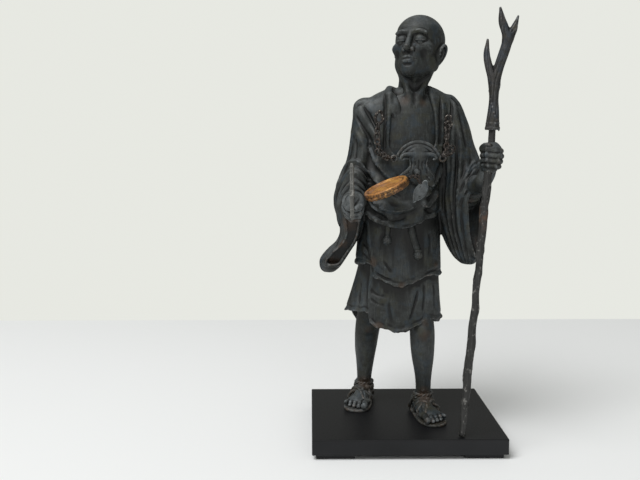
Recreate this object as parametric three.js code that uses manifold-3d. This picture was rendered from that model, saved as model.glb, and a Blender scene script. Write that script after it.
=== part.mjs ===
// A walking monk, bare-headed, with a forked staff in one hand and a small mallet in the other.
// A round gong hangs before the chest from a carved yoke and two chains. The figure stands on a low plinth.
// +X is to the viewer's right, -Y is the front and +Z is up. The origin is under the plinth's middle.
import * as THREE from "three";
import { mergeVertices } from "three/addons/utils/BufferGeometryUtils.js";
import Module from "manifold-3d";

const wasm = await Module();
wasm.setup();

// Driving dimensions, in millimetres. The figure's heights are measured from the plinth's top.
const PLINTH_WIDTH = 100;
const PLINTH_DEPTH = 86;
const SLAB_HEIGHT = 8.3;
const PLATE_HEIGHT = 1.2;
const PLATE_INSET = 2;
const FOOT_HEIGHT = 1.3;
const FOOT_LENGTH = 20;
const PLINTH_TOP = FOOT_HEIGHT + PLATE_HEIGHT + SLAB_HEIGHT;
const GAP = 0.3;

const HEAD_PLACE = [7, 4, 199.5];
const HEAD_TURN = -27;
const HEAD_LIFT = -14;
const EAR_LEAN = 24;

const STAFF_FOOT = [26.4, -39.2, 0.3];
const STAFF_NECK = [39.9, -32, 155];
const STAFF_RADIUS = 1.65;
const SOCKET_RADIUS = 3.1;

const GONG_PLACE = [-12.4, -31, 126.2];
const GONG_RADIUS = 11.8;
const GONG_THICKNESS = 4;

const GARMENT_STEP = 1.7;
const POUCH_DEPTH = 2.6;
const COLUMNS = 38;

const vector = (p) => new THREE.Vector3(...p);
const radians = THREE.MathUtils.degToRad;

// Smooth steps and blends.
const ease = (t) => {
  const s = Math.min(1, Math.max(0, t));
  return s * s * (3 - 2 * s);
};
const mix = (a, b, t) => a + (b - a) * t;

// A closed solid from equal rings of points. The rings turn anticlockwise seen from the last one,
// and each end is a fan about its middle, or about the point that is given for it.
function solidFromRings(rings, startPoint, endPoint) {
  const count = rings[0].length;
  const middle = (ring) => ring.reduce((sum, p) => sum.add(p), new THREE.Vector3()).divideScalar(count);
  const points = rings.flat();
  const start = points.push(startPoint ?? middle(rings[0])) - 1;
  const end = points.push(endPoint ?? middle(rings.at(-1))) - 1;
  const faces = [];
  const last = (rings.length - 1) * count;
  for (let j = 0; j < count; j++) {
    const next = (j + 1) % count;
    for (let i = 0; i < rings.length - 1; i++) {
      const low = i * count;
      const high = low + count;
      faces.push(low + j, low + next, high + next, low + j, high + next, high + j);
    }
    faces.push(start, next, j, end, last + j, last + next);
  }
  const geometry = new THREE.BufferGeometry();
  geometry.setAttribute("position", new THREE.Float32BufferAttribute(points.flatMap((p) => p.toArray()), 3));
  geometry.setIndex(faces);
  return geometry;
}

function manifold(geometry) {
  const bare = new THREE.BufferGeometry();
  const source = geometry.index ? geometry.toNonIndexed() : geometry;
  bare.setAttribute("position", source.getAttribute("position"));
  const merged = mergeVertices(bare, 1e-4);
  const vertProperties = merged.getAttribute("position").array;
  const triVerts = new Uint32Array(merged.index.array);
  return new wasm.Manifold(new wasm.Mesh({ numProp: 3, vertProperties, triVerts }));
}

function geometryOf(solid) {
  const mesh = solid.getMesh();
  const geometry = new THREE.BufferGeometry();
  geometry.setAttribute("position", new THREE.BufferAttribute(new Float32Array(mesh.vertProperties), 3));
  geometry.setIndex(new THREE.BufferAttribute(new Uint32Array(mesh.triVerts), 1));
  return geometry;
}

const joined = (geometries) => geometries.map(manifold).reduce((all, one) => all.add(one));
const moved = (geometry, x, y, z) => geometry.clone().translate(x, y, z);

// A tapered tube through points of the form [x, y, z, radius]. Its ends are drawn in to a shallow dome.
function limb(stations, sides = 10, steps = (stations.length - 1) * 3, dome = 0.45) {
  const curve = new THREE.CatmullRomCurve3(stations.map(vector), false, "centripetal");
  const frames = curve.computeFrenetFrames(steps, false);
  const radii = new THREE.CatmullRomCurve3(
    stations.map((s, i) => new THREE.Vector3(i, s[3], 0)), false, "centripetal");
  const rings = [];
  for (let i = 0; i <= steps; i++) {
    const t = i / steps;
    const centre = curve.getPoint(t);
    const radius = radii.getPoint(t).y;
    rings.push(Array.from({ length: sides }, (_, j) => {
      const angle = (j / sides) * 2 * Math.PI;
      return centre.clone()
        .addScaledVector(frames.normals[i], radius * Math.cos(angle))
        .addScaledVector(frames.binormals[i], radius * Math.sin(angle));
    }));
  }
  const startPoint = curve.getPoint(0).addScaledVector(frames.tangents[0], -dome * stations[0][3]);
  const endPoint = curve.getPoint(1).addScaledVector(frames.tangents[steps], dome * stations.at(-1)[3]);
  return solidFromRings(rings, startPoint, endPoint);
}

function ball(place, radii, turns = [0, 0, 0], columns = 10, rows = 6) {
  return new THREE.SphereGeometry(1, columns, rows)
    .rotateX(Math.PI / 2)
    .scale(...radii)
    .applyMatrix4(new THREE.Matrix4().makeRotationFromEuler(new THREE.Euler(...turns.map(radians), "ZYX")))
    .translate(...place);
}

// Values at equal bearings round the body, from 0 degrees at +X towards +Y, joined smoothly.
function around(values) {
  return (angle) => {
    const place = (((angle / (2 * Math.PI)) % 1) + 1) % 1 * values.length;
    const i = Math.floor(place);
    const low = values[i % values.length];
    const high = values[(i + 1) % values.length];
    return mix(low, high, ease(place - i));
  };
}

// The columns of a table at any height, as a smooth curve through its rows. Column 0 is the height.
function heightTable(rows) {
  const slope = (i, c) => {
    const low = rows[Math.max(0, i - 1)];
    const high = rows[Math.min(rows.length - 1, i + 1)];
    return (high[c] - low[c]) / (high[0] - low[0]);
  };
  return (z) => {
    const clamped = Math.min(rows.at(-1)[0], Math.max(rows[0][0], z));
    const i = Math.min(rows.length - 2, Math.max(0, rows.findIndex((r) => r[0] > clamped) - 1));
    const at = clamped >= rows.at(-1)[0] ? rows.length - 2 : i;
    const span = rows[at + 1][0] - rows[at][0];
    const t = (clamped - rows[at][0]) / span;
    const [h1, h2] = [t * t * (3 - 2 * t), t * (1 - t) * (1 - t)];
    const h3 = -t * t * (1 - t);
    return rows[at].map((value, c) => mix(value, rows[at + 1][c], h1)
      + span * (h2 * slope(at, c) + h3 * slope(at + 1, c)));
  };
}

// The distance from a section's middle to its edge, along one bearing, for a squarish ellipse.
function sectionRadius(angle, halfX, halfY, power) {
  const across = Math.abs(Math.cos(angle) / halfX) ** power;
  const deep = Math.abs(Math.sin(angle) / halfY) ** power;
  return (across + deep) ** (-1 / power);
}

// Folds as soft ridges that run up a garment. Each has a bearing at its foot and its head, in degrees.
function foldHeight(folds, angle, share) {
  return folds.reduce((sum, fold) => {
    const bearing = radians(mix(fold.foot, fold.head, share));
    const away = Math.atan2(Math.sin(angle - bearing), Math.cos(angle - bearing));
    return sum + fold.high * Math.exp(-((away / radians(fold.wide)) ** 2)) * mix(1, fold.fade, share);
  }, 0);
}

// The body's sections: height, middle x and y, half width and half depth.
const BODY = heightTable([
  [44, -4, 7.5, 26, 18.8],
  [60, -3, 7, 24, 17.4],
  [76, -2.6, 6.5, 22.4, 16.4],
  [92, -2.2, 6, 21.2, 15.6],
  [108, -1.6, 5.6, 20, 15],
  [124, -0.6, 5.6, 19.4, 15],
  [140, 0.6, 6, 20.4, 15],
  [154, 1.4, 6.4, 22, 14],
  [164, 2, 6.8, 23.2, 12.4],
  [171, 2.8, 7.2, 22, 11],
  [175, 3.6, 7.4, 18, 9.6],
  [178, 4.4, 7.6, 12.4, 8.4],
  [179.5, 4.8, 7.6, 8.4, 6.6],
]);
const BODY_POWER = 2.35;
const BODY_TOP = 179.5;

// The three hems, each by its height at eight bearings from +X round by the back to the front.
const skirtHem = around([52, 46, 46.5, 47, 56.5, 56.5, 47.6, 52.5]);
const jacketHem = around([78, 78, 77, 79, 84, 77.5, 74, 76.5]);
const vestHem = around([121, 122, 121, 121, 121, 108.5, 104.4, 110]);

const SKIRT_FOLD_COUNT = 13;
const SKIRT_FOLDS = Array.from({ length: SKIRT_FOLD_COUNT }, (_, i) => {
  const foot = (i * 360) / SKIRT_FOLD_COUNT + 8 * Math.sin(i * 2.4);
  const head = foot + 6 * Math.sin(i * 1.7);
  return { foot, head, wide: 6.5, high: 1.3 + 0.5 * Math.sin(i * 3.1), fade: 0.1 };
});
SKIRT_FOLDS.push({ foot: 186, head: 180, wide: 15, high: 3.4, fade: -0.3 });
SKIRT_FOLDS.push({ foot: 262, head: 258, wide: 34, high: 1.2, fade: 0.8 });
const JACKET_FOLDS = Array.from({ length: 10 }, (_, i) => (
  { foot: i * 36 + 12, head: i * 36 + 24, wide: 7, high: 1 + 0.4 * Math.sin(i * 2.1), fade: 0.3 }
));
const VEST_FOLDS = [
  { foot: 252, head: 196, wide: 8, high: 1.9, fade: 0.3 },
  { foot: 232, head: 212, wide: 7, high: 1.5, fade: 0.2 },
  { foot: 292, head: 326, wide: 8, high: 1.9, fade: 0.3 },
  { foot: 314, head: 338, wide: 7, high: 1.3, fade: 0.2 },
  ...Array.from({ length: 6 }, (_, i) => (
    { foot: 25 + i * 26, head: 35 + i * 22, wide: 8, high: 1.2, fade: 0.4 }
  )),
];

function bodyPoint(angle, z, outset, folds, share) {
  const [, x, y, halfX, halfY] = BODY(z);
  const radius = sectionRadius(angle, halfX, halfY, BODY_POWER) + outset + foldHeight(folds, angle, share);
  return new THREE.Vector3(x + radius * Math.cos(angle), y + radius * Math.sin(angle), z);
}

// How far the vest stands out: a step at its hem, and a pouch over the belly.
function vestOutset(share, angle) {
  const flare = GARMENT_STEP * (1 - ease(share * 1.6));
  const front = Math.max(0, -Math.sin(angle)) ** 3;
  return GARMENT_STEP + flare + POUCH_DEPTH * front * Math.exp(-(((share - 0.12) / 0.2) ** 2));
}

// Skirt, jacket and vest in one skin. Each garment starts at its own hem with a small step outwards.
function robeBody() {
  const zones = [
    { from: skirtHem, to: jacketHem, rows: 4, outset: () => 0, folds: SKIRT_FOLDS },
    { from: jacketHem, to: vestHem, rows: 3, outset: () => GARMENT_STEP, folds: JACKET_FOLDS },
    { from: vestHem, to: () => BODY_TOP, rows: 8, outset: vestOutset, folds: VEST_FOLDS },
  ];
  const rings = zones.flatMap(({ from, to, rows, outset, folds }) => (
    Array.from({ length: rows + 1 }, (_, i) => {
      const share = i / rows;
      return Array.from({ length: COLUMNS }, (_, j) => {
        const angle = (j / COLUMNS) * 2 * Math.PI;
        return bodyPoint(angle, mix(from(angle), to(angle), share), outset(share, angle), folds, share);
      });
    })
  ));
  const hollowTop = new THREE.Vector3(BODY(60)[1], BODY(60)[2], 58);
  return solidFromRings(rings, hollowTop);
}

// A hanging sleeve as a stack of turned ellipses: height, middle x and y, half length along the turned
// x axis, half width across it, and the turn in degrees.
function sleeveSolid(rows, columns, steps, folds, thinner = 0, shift = [0, 0]) {
  const table = heightTable(rows);
  const [low, high] = [rows[0][0], rows.at(-1)[0]];
  const rings = Array.from({ length: steps + 1 }, (_, i) => {
    const share = i / steps;
    const z = mix(low, high, share);
    const [, x, y, along, across, turn] = table(z);
    return Array.from({ length: columns }, (_, j) => {
      const angle = (j / columns) * 2 * Math.PI;
      const radius = sectionRadius(angle, along - thinner, across - thinner, 2.2)
        + foldHeight(folds, angle, share);
      const bearing = angle + radians(turn);
      return new THREE.Vector3(
        x + shift[0] + radius * Math.cos(bearing), y + shift[1] + radius * Math.sin(bearing), z);
    });
  });
  return solidFromRings(rings);
}

const RIGHT_SLEEVE = [
  [78.6, -40.2, 3, 2.4, 2.6, 0],
  [81.5, -39.6, 3, 5, 7, 0],
  [86, -38, 3, 6.5, 10.6, 0],
  [91, -34.6, 3, 6.2, 12.4, 0],
  [95.5, -30.8, 3, 5.2, 13.2, 0],
  [101, -28.6, 3, 5.1, 14, 0],
  [108, -28.4, 3, 6.2, 14.8, 0],
  [116, -28.6, 3, 7.4, 15, 0],
  [127, -27.4, 3.6, 7.6, 14, 0],
  [133, -25.4, 4.4, 7, 13, 0],
  [139, -23.4, 5.4, 6.8, 11.6, 0],
  [150, -21, 6.4, 7.4, 10, 0],
  [162, -19.4, 7, 7.5, 9, 0],
  [170, -19, 7, 7.3, 7.6, 0],
  [173.6, -18.6, 7, 4.6, 4.8, 0],
];
const LEFT_SLEEVE = [
  [84.6, 34, -8.8, 3, 2.4, -42],
  [88.5, 33.4, -8, 7, 5, -42],
  [96, 32, -6, 11, 6.4, -42],
  [106, 30.6, -4.2, 14.2, 7.6, -42],
  [118, 29.8, -3, 15.8, 8.8, -42],
  [128, 29.6, -1.4, 15, 9.4, -38],
  [136, 29.4, 1, 12.4, 9.6, -30],
  [147, 28, 3.6, 10.6, 9.8, -20],
  [160, 25, 6.2, 10, 9.2, -8],
  [170, 22.4, 7, 8.4, 7.8, 0],
  [175.4, 21.8, 7, 4.4, 4.6, 0],
];
const RIGHT_SLEEVE_FOLDS = Array.from({ length: 4 }, (_, i) => (
  { foot: 80 + i * 36, head: 90 + i * 40, wide: 11, high: 0.9, fade: 0.6 }
));
const LEFT_SLEEVE_FOLDS = Array.from({ length: 6 }, (_, i) => (
  { foot: 214 + i * 26, head: 228 + i * 22, wide: 7, high: 0.9, fade: 0.7 }
));
const SLEEVE_WALL = 1.5;

// The sleeve's open mouth, a thinner copy of its lower part pushed out through the front edge.
function sleeveMouth(rows, lowest, highest, shift) {
  const table = heightTable(rows);
  const part = Array.from({ length: 6 }, (_, i) => table(mix(lowest, highest, i / 5)));
  return sleeveSolid(part, 9, 5, [], SLEEVE_WALL, shift);
}

// Two collar bands, from the nape over the shoulders and straight down the chest.
function collarBand(side) {
  const middle = 2.9;
  const stations = [
    [middle + side * 3, 15.6, 175.6, 2],
    [middle + side * 9, 11.6, 177, 2.2],
    [middle + side * 12, 4, 176.8, 2.3],
    [middle + side * 14, -2.6, 172, 2.3],
    [middle + side * 15.3, -7.2, 162, 2.2],
    [middle + side * 15.2, -9.4, 152, 2.1],
    [middle + side * 13.6, -10.8, 141, 1.7],
  ];
  return limb(stations, 5, 6);
}

// The front of the body at a place across it, as its y value.
function frontOf(x, z, outset) {
  const [, middleX, middleY, halfX, halfY] = BODY(z);
  const across = Math.min(0.99, Math.abs((x - middleX) / (halfX + outset)));
  return middleY - (halfY + outset) * (1 - across ** BODY_POWER) ** (1 / BODY_POWER);
}

// A soft roll of cloth along the front, through points of the form [x, z].
function frontRoll(points, radius, outset) {
  return limb(points.map(([x, z], i) => (
    [x, frontOf(x, z, outset), z, i === 0 || i === points.length - 1 ? radius * 0.5 : radius]
  )), 5, points.length + 1);
}

// The vest's rolled hem, and the edge where the jacket laps over itself.
function frontFolds() {
  const vestRoll = [[-19.4, 115.6], [-14.4, 109], [-5, 105.6], [6, 106], [13, 109.6], [17.6, 116]];
  const jacketEdge = [[-19, 96], [-17.6, 86], [-14, 77]];
  return [
    frontRoll(vestRoll, 1.5, GARMENT_STEP + 2.9),
    frontRoll(jacketEdge, 1.4, GARMENT_STEP + 0.9),
  ];
}

// A sash end that hangs from the waist and finishes in a ball-shaped knot.
const SASH_TOP = 105;
const SASH_RADIUS = 1.5;

function sashEnd(x, length, lean) {
  const stations = [0, 0.5, 1].map((share) => {
    const z = SASH_TOP - length * share;
    return [x + lean * share, frontOf(x + lean * share, z, GARMENT_STEP), z, SASH_RADIUS];
  });
  const [ballX, ballY, ballZ] = stations.at(-1);
  const ballPlace = [ballX, ballY - 0.6, ballZ - 1.6];
  return [limb(stations, 5, 2), ball(ballPlace, [2.4, 2.4, 2.6], [0, 0, 0], 6, 4)];
}

// The head in its own frame: the face looks along -Y, and its middle is midway from chin to crown.
const ellipsoid = (place, radii) => (p) => {
  const q = p.map((value, i) => (value - place[i]) / radii[i]);
  const length = Math.hypot(...q);
  const slope = Math.hypot(...q.map((value, i) => value / radii[i])) || 1;
  return (length * (length - 1)) / slope;
};
const softUnion = (soft, fields) => (p) => fields.map((f) => f(p)).reduce((a, b) => {
  const share = Math.max(soft - Math.abs(a - b), 0) / soft;
  return Math.min(a, b) - share * share * soft * 0.25;
});
const bothSides = (make) => [make(-1), make(1)];

const skull = softUnion(3, [
  ellipsoid([0, 2.4, 5.2], [13.3, 15, 13.2]),
  ellipsoid([0, -3, -4.6], [10.6, 10.8, 13.2]),
  ellipsoid([0, -9.6, -14.4], [4.2, 4, 4]),
  ...bothSides((s) => ellipsoid([s * 6.8, -8.4, -3.4], [3.8, 3.4, 3])),
  ...bothSides((s) => ellipsoid([s * 4.6, -12, 4.4], [4.6, 1.9, 1.5])),
  ...bothSides((s) => ellipsoid([s * 8, -0.5, -10], [3.2, 5, 4])),
]);
const sockets = softUnion(0.6, bothSides((s) => ellipsoid([s * 4.9, -14.6, 0.4], [3.2, 3.4, 2.3])));
const headField = (p) => Math.max(skull(p), -sockets(p));

// Draws a skin over a field by walking in along rays from its middle, closer together on the face.
function wrapped(field, columns, rows, reach) {
  const crowd = 0.42;
  const rings = Array.from({ length: rows - 1 }, (_, i) => {
    const tilt = -Math.PI / 2 + (Math.PI * (i + 1)) / rows;
    return Array.from({ length: columns }, (_, j) => {
      const even = (j / columns) * 2 * Math.PI;
      const bearing = even + crowd * Math.sin(even) - Math.PI / 2;
      return surfaceAlong(field, [
        Math.cos(tilt) * Math.cos(bearing), Math.cos(tilt) * Math.sin(bearing), Math.sin(tilt),
      ], reach);
    });
  });
  return solidFromRings(rings, surfaceAlong(field, [0, 0, -1], reach), surfaceAlong(field, [0, 0, 1], reach));
}

function surfaceAlong(field, direction, reach) {
  const stride = 0.25;
  let distance = reach;
  while (distance > stride && field(direction.map((d) => d * distance)) > 0) distance -= stride;
  return vector(direction).multiplyScalar(distance + stride / 2);
}

function head() {
  const pieces = [
    wrapped(headField, 18, 12, 24),
    limb([[0, -12.2, 3, 1.2], [0, -14.8, -2.4, 1.6], [0, -15.4, -5.4, 2.1]], 5, 3),
    ball([0, -12.9, -9.6], [3.7, 1.9, 1], [0, 0, 0], 7, 3),
    ball([0, -12.7, -11.3], [3.1, 1.9, 1.1], [0, 0, 0], 7, 3),
    ...bothSides((s) => ball([s * 4.8, -11.1, 0.4], [2.7, 2.2, 1.9], [0, 0, 0], 8, 4)),
    ...bothSides((s) => ball([s * 12.8, 2.4, -2], [1.8, 3.4, 5.2], [0, 0, -s * EAR_LEAN], 7, 4)),
    ...bothSides((s) => ball([s * 12.6, 1, -9.4], [1.6, 2, 4.6], [0, 0, -s * EAR_LEAN], 6, 3)),
  ];
  const turn = new THREE.Euler(radians(HEAD_LIFT), 0, radians(HEAD_TURN), "ZYX");
  const place = new THREE.Matrix4().makeRotationFromEuler(turn).setPosition(...HEAD_PLACE);
  return pieces.map((piece) => piece.applyMatrix4(place));
}

// The neck, spreading into the chest.
const neck = () => (
  limb([[4, 5.6, 158, 14], [4.4, 6.6, 168, 11.4], [4.9, 6.8, 178, 8.6], [6.6, 6.4, 192, 8.6]], 12, 4)
);

// A fist closed round a rod, as a barrel with a groove between each two fingers, and a thumb across it.
// The rod's direction points to the thumb's side, toWrist is square to it, and the sign picks the hand.
const FINGER_WIDTH = 3.1;

function fist(place, rod, toWrist, side, gripRadius) {
  const z = vector(rod).normalize();
  const x = vector(toWrist).addScaledVector(z, -vector(toWrist).dot(z)).normalize();
  const y = new THREE.Vector3().crossVectors(z, x);
  const at = (a, b, c) => vector(place).addScaledVector(x, a).addScaledVector(y, b).addScaledVector(z, c);
  const [columns, rows] = [10, 8];
  const rings = Array.from({ length: rows + 3 }, (_, i) => {
    const step = Math.min(rows, Math.max(0, i - 1));
    const isCap = i === 0 || i === rows + 2;
    const along = (step / rows - 0.5) * 4 * FINGER_WIDTH + (isCap ? Math.sign(i - 1) * 0.7 : 0);
    const groove = isCap || step % 2 ? 0 : 1;
    return Array.from({ length: columns }, (_, j) => {
      const angle = (j / columns) * 2 * Math.PI;
      const palm = (0.5 + 0.5 * Math.cos(angle)) ** 1.5;
      const reach = (gripRadius + 3.3 + 3.2 * palm - groove * (1 - palm)) * (isCap ? 0.74 : 1);
      return at(reach * Math.cos(angle), 0.94 * reach * Math.sin(angle), along);
    });
  });
  const thumb = [
    [6.4, -2.6, 3.2, 2.1],
    [2.4, -gripRadius - 3.2, 5.4, 2],
    [-2, -gripRadius - 3, 6.3, 1.7],
    [-4.8, -gripRadius - 0.8, 6.8, 1.3],
  ];
  const thumbStations = thumb.map(([a, b, c, radius]) => [...at(a, side * b, c).toArray(), radius]);
  return [solidFromRings(rings), limb(thumbStations, 5, 4)];
}

const STAFF_DIRECTION = vector(STAFF_NECK).sub(vector(STAFF_FOOT)).normalize();
const staffPoint = (z) => {
  const share = (z - STAFF_FOOT[2]) / (STAFF_NECK[2] - STAFF_FOOT[2]);
  return STAFF_FOOT.map((value, i) => mix(value, STAFF_NECK[i], share));
};

const MALLET_FIST = [-28.4, -27.6, 115.6];
const MALLET_DIRECTION = [-0.1, -0.72, 0.69];
const MALLET_RADIUS = 0.95;
const MALLET_TAIL = 8;
const MALLET_HEAD_RADIUS = 1.05;
const MALLET_HEAD = [-30, -36.5, 124.9];
const MALLET_HEAD_HALF = 14.2;
const STAFF_FIST_HEIGHT = 141.5;

// Forearms that come out of bunched cloth, and the two fists.
function arms() {
  const [x, y, z] = staffPoint(STAFF_FIST_HEIGHT);
  const rightForearm = [
    [-27, 5, 122, 7], [-27.1, 0.6, 121, 9], [-27.3, -2.6, 120.2, 7.4], [-27.5, -5.6, 119.6, 8.2],
    [-27.7, -8.4, 119, 6.6], [-27.9, -10.4, 118.4, 7.2], [-28.1, -12.4, 117.8, 5.2], [-28.4, -23, 115.8, 4],
  ];
  const leftForearm = [
    [31, 0, 121, 7], [32, -3, 122.4, 9], [32.8, -5.4, 123.6, 7.4], [33.6, -8, 124.8, 8.2],
    [34.4, -10.4, 126, 6.4], [35.2, -12.4, 127, 7], [36, -14.2, 128, 5], [x - 0.2, y + 8, z - 6, 4],
  ];
  return [
    limb(rightForearm, 9, rightForearm.length - 1),
    ...fist(MALLET_FIST, MALLET_DIRECTION, [0, 1, 0.1], 1, MALLET_RADIUS),
    limb(leftForearm, 9, leftForearm.length - 1),
    ...fist([x, y, z], STAFF_DIRECTION.toArray(), [-0.1, 1, -0.1], -1, STAFF_RADIUS),
  ];
}

// Bare legs from under the skirt, each with a roll of straw rope round the ankle.
function legs() {
  const right = [[-15, 10, 66, 7.6], [-17, 11.8, 54, 7.2], [-18.3, 13.6, 44, 6.6], [-18.9, 15.4, 35, 6],
    [-19.2, 17.6, 25, 4.7], [-19.4, 19.6, 16, 4.1], [-19.4, 20.9, 11, 4.2], [-19.4, 21.4, 9.8, 5.4],
    [-19.4, 22, 8, 5.4], [-19.4, 22.6, 6.4, 4.4], [-19.4, 23, 4, 4.4]];
  const left = [[7, 0, 68, 7.6], [9.4, -3, 56, 6.8], [10.5, -4.6, 47, 6.5], [10.9, -5, 38, 6.2],
    [11.3, -4.4, 28, 4.9], [11.6, -3, 19, 4.2], [11.8, -2, 12, 4.2], [11.8, -1.8, 10.6, 5.4],
    [11.8, -1.6, 8.8, 5.4], [11.8, -1.4, 7.2, 4.5], [11.8, -1.2, 4, 4.5]];
  return [right, left].map((stations) => limb(stations, 9, stations.length - 1));
}

const SOLE_THICKNESS = 1.5;
const FOOT_SPAN = 31;

// A foot in its own frame, heel at the origin and toes along -Y, standing on a straw sole with straps.
// The sign is +1 where the big toe is on the +X side.
function footPieces(sign) {
  const stations = [[0, 3.6, 4.8], [5, 4.8, 8], [12, 5.2, 8], [19, 6.4, 5.8], [26.6, 6.6, 3.7]];
  const rings = stations.map(([along, half, high]) => Array.from({ length: 9 }, (_, j) => {
    const angle = (j / 9) * 2 * Math.PI;
    const lift = Math.sin(angle) < 0 ? 0.12 : 1;
    const inwards = sign * 0.05 * along;
    return new THREE.Vector3(
      inwards + half * Math.cos(angle), -along, SOLE_THICKNESS + 0.5 + high * lift * Math.sin(angle));
  }));
  const toes = Array.from({ length: 5 }, (_, i) => {
    const big = i === 0 ? 1.3 : 1;
    const x = sign * (6.4 - i * 2.8 - (i > 0 ? 0.5 : 0));
    const tip = 28.6 - 0.24 * i * i - (i > 0 ? 0.3 : 0);
    return ball([x, -tip, SOLE_THICKNESS + 0.6 + 1.6 * big], [1.35 * big, 3, 1.6 * big], [0, 0, 0], 6, 3);
  });
  const outline = new THREE.Shape();
  const half = 7.3;
  const middle = sign * 0.9;
  outline.moveTo(-4.4, 1);
  outline.quadraticCurveTo(0, 4.4, 4.4, 1);
  outline.lineTo(middle + half, -21);
  outline.quadraticCurveTo(middle + half, -28, middle + 3, -FOOT_SPAN);
  outline.lineTo(middle - 3, -FOOT_SPAN);
  outline.quadraticCurveTo(middle - half, -28, middle - half, -21);
  outline.lineTo(-4.4, 1);
  const sole = new THREE.ExtrudeGeometry(
    outline, { depth: SOLE_THICKNESS + 0.4, bevelEnabled: false, curveSegments: 2 });
  const strap = [
    [-6.6, -13, 2.6, 0.9], [-5.2, -12.4, 7.4, 0.9], [0.4, -13, 9.6, 1],
    [5.8, -12.4, 7.2, 0.9], [7, -13, 2.6, 0.9],
  ];
  const instep = solidFromRings(rings.reverse().map((ring) => ring.reverse()));
  return [sole, instep, ...toes, limb(strap, 4, 5)];
}

const FEET = [
  { heel: [-18.4, 28.6, 0], toes: [-27, 0, 0], sign: 1 },
  { heel: [9.6, 4.4, 0], toes: [17.6, -26.2, 0], sign: -1 },
];

function feet() {
  return FEET.flatMap(({ heel, toes, sign }) => {
    const bearing = Math.atan2(toes[0] - heel[0], -(toes[1] - heel[1]));
    return footPieces(sign).map((piece) => piece.rotateZ(bearing).translate(...heel));
  });
}

// The staff: a slightly crooked shaft, and a forked head that sits on it by a socket.
function staffShaft(grow = 0) {
  const steps = 12;
  const stations = Array.from({ length: steps + 1 }, (_, i) => {
    const z = mix(STAFF_FOOT[2], STAFF_NECK[2], i / steps);
    const [x, y] = staffPoint(z);
    const knot = 0.12 * Math.sin(i * 2.9) ** 2;
    return [x, y, z, STAFF_RADIUS + grow + knot - 0.15 * (i / steps)];
  });
  return limb(stations, 7, steps, 0);
}

function antlerHead() {
  const trunk = [
    [0, 0, GAP, SOCKET_RADIUS], [0.3, 0, 5, SOCKET_RADIUS - 0.3], [0.4, 0, 14, 2.1], [0.6, 0, 24, 2.3],
    [2.4, 0, 31, 1.9], [5.8, -0.4, 41, 2], [6.6, -0.8, 46, 1.7],
  ];
  const tines = [
    [[0.6, 0, 22, 1.9], [-1.8, -0.4, 29, 1.7], [-3.2, -0.8, 37, 1.4], [-3, -1, 43.6, 0.5]],
    [[6.6, -0.8, 45, 1.7], [3.6, -1, 53, 1.5], [2.6, -1.2, 59.6, 0.4]],
    [[6.4, -0.6, 44, 1.7], [8.6, -0.6, 49.4, 1.3], [9.7, -0.6, 56, 0.3]],
  ];
  const pieces = [limb(trunk, 7, 6, 0), ...tines.map((tine) => limb(tine, 5, 3))];
  return joined(pieces.map((piece) => moved(piece, ...STAFF_NECK)));
}

// The gong's axis leans to the viewer's left and a little forwards.
const GONG_AXIS = new THREE.Vector3(-0.4, -0.13, 0.91).normalize();

function gong() {
  const half = GONG_THICKNESS / 2;
  const rim = GONG_RADIUS;
  const profile = [[0, -half + 0.7], [rim - 2, -half + 0.7], [rim - 0.8, -half], [rim, 0], [rim - 0.8, half],
    [rim - 2.4, half - 0.7], [rim - 5, half - 0.5], [0, half + 0.3]];
  const geometry = new THREE.LatheGeometry(profile.map(([r, h]) => new THREE.Vector2(r, h)), 20);
  geometry.applyQuaternion(new THREE.Quaternion().setFromUnitVectors(new THREE.Vector3(0, 1, 0), GONG_AXIS));
  return geometry.translate(...GONG_PLACE);
}

// The carved yoke before the chest: a crested bar, a flaring post and two leaf-shaped tips.
// It is shaped flat and wide, and hangs just in front of the robe.
const YOKE_MIDDLE = 3.9;
const YOKE_FLATNESS = 0.62;

function yoke() {
  const flat = (stations, sides, steps) => (
    limb(stations.map(([x, z, r]) => [x, 0, z, r]), sides, steps)
      .scale(1, YOKE_FLATNESS, 1)
      .translate(YOKE_MIDDLE, -16, 0)
  );
  const barLine = [[-15.4, 142.2, 1.2], [-9, 144.2, 1.9], [0, 146.4, 3.1], [9, 145, 1.9], [16, 144, 1.2]];
  const bar = flat(barLine, 7, 6);
  const crest = flat([[-6, 147.4, 1], [0, 149.4, 1.6], [6, 147.6, 1]], 5, 3);
  const post = flat([[0, 145, 4.6], [0.1, 140.6, 3.7], [0.3, 136.6, 3.8], [0.6, 132.6, 4.6]], 7, 3);
  const leaves = [[-8, 133.6], [7.8, 128.6]].map(([out, drop]) => (
    flat([[out * 0.3, 134.4, 3], [out * 0.7, mix(133, drop, 0.6), 2.2], [out, drop, 0.8]], 5, 2)
  ));
  const arm = limb([[YOKE_MIDDLE + 0.4, -17.4, 134.4, 1.8], [YOKE_MIDDLE + 0.4, -22, 133.4, 1.5],
    [YOKE_MIDDLE, -25.2, 132.2, 1.3]], 5, 2);
  return joined([bar, crest, post, ...leaves, arm]);
}

// A cord that joins the yoke's arm to the gong's edge, with a leaf-shaped tassel.
function hangerKnot() {
  const leaf = ball([3.6, -27.6, 124.6], [2.4, 1.4, 5.2], [0, 25, 0], 7, 5);
  const cord = [
    [4.8, -27.6, 126.6, 0.9], [3, -28, 130.6, 1], [0.8, -29.4, 132.2, 0.9], [-0.8, -30.6, 131.8, 0.8],
  ];
  return joined([leaf, limb(cord, 5, 4)]);
}

// A hanging chain: rings and oval links that pass through each other, and really touch.
const LINK_COUNT = 5;
const LINK_RADIUS = 2;
const LINK_WIRE = 0.6;
const CHAIN_SAG = 0.8;

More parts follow.
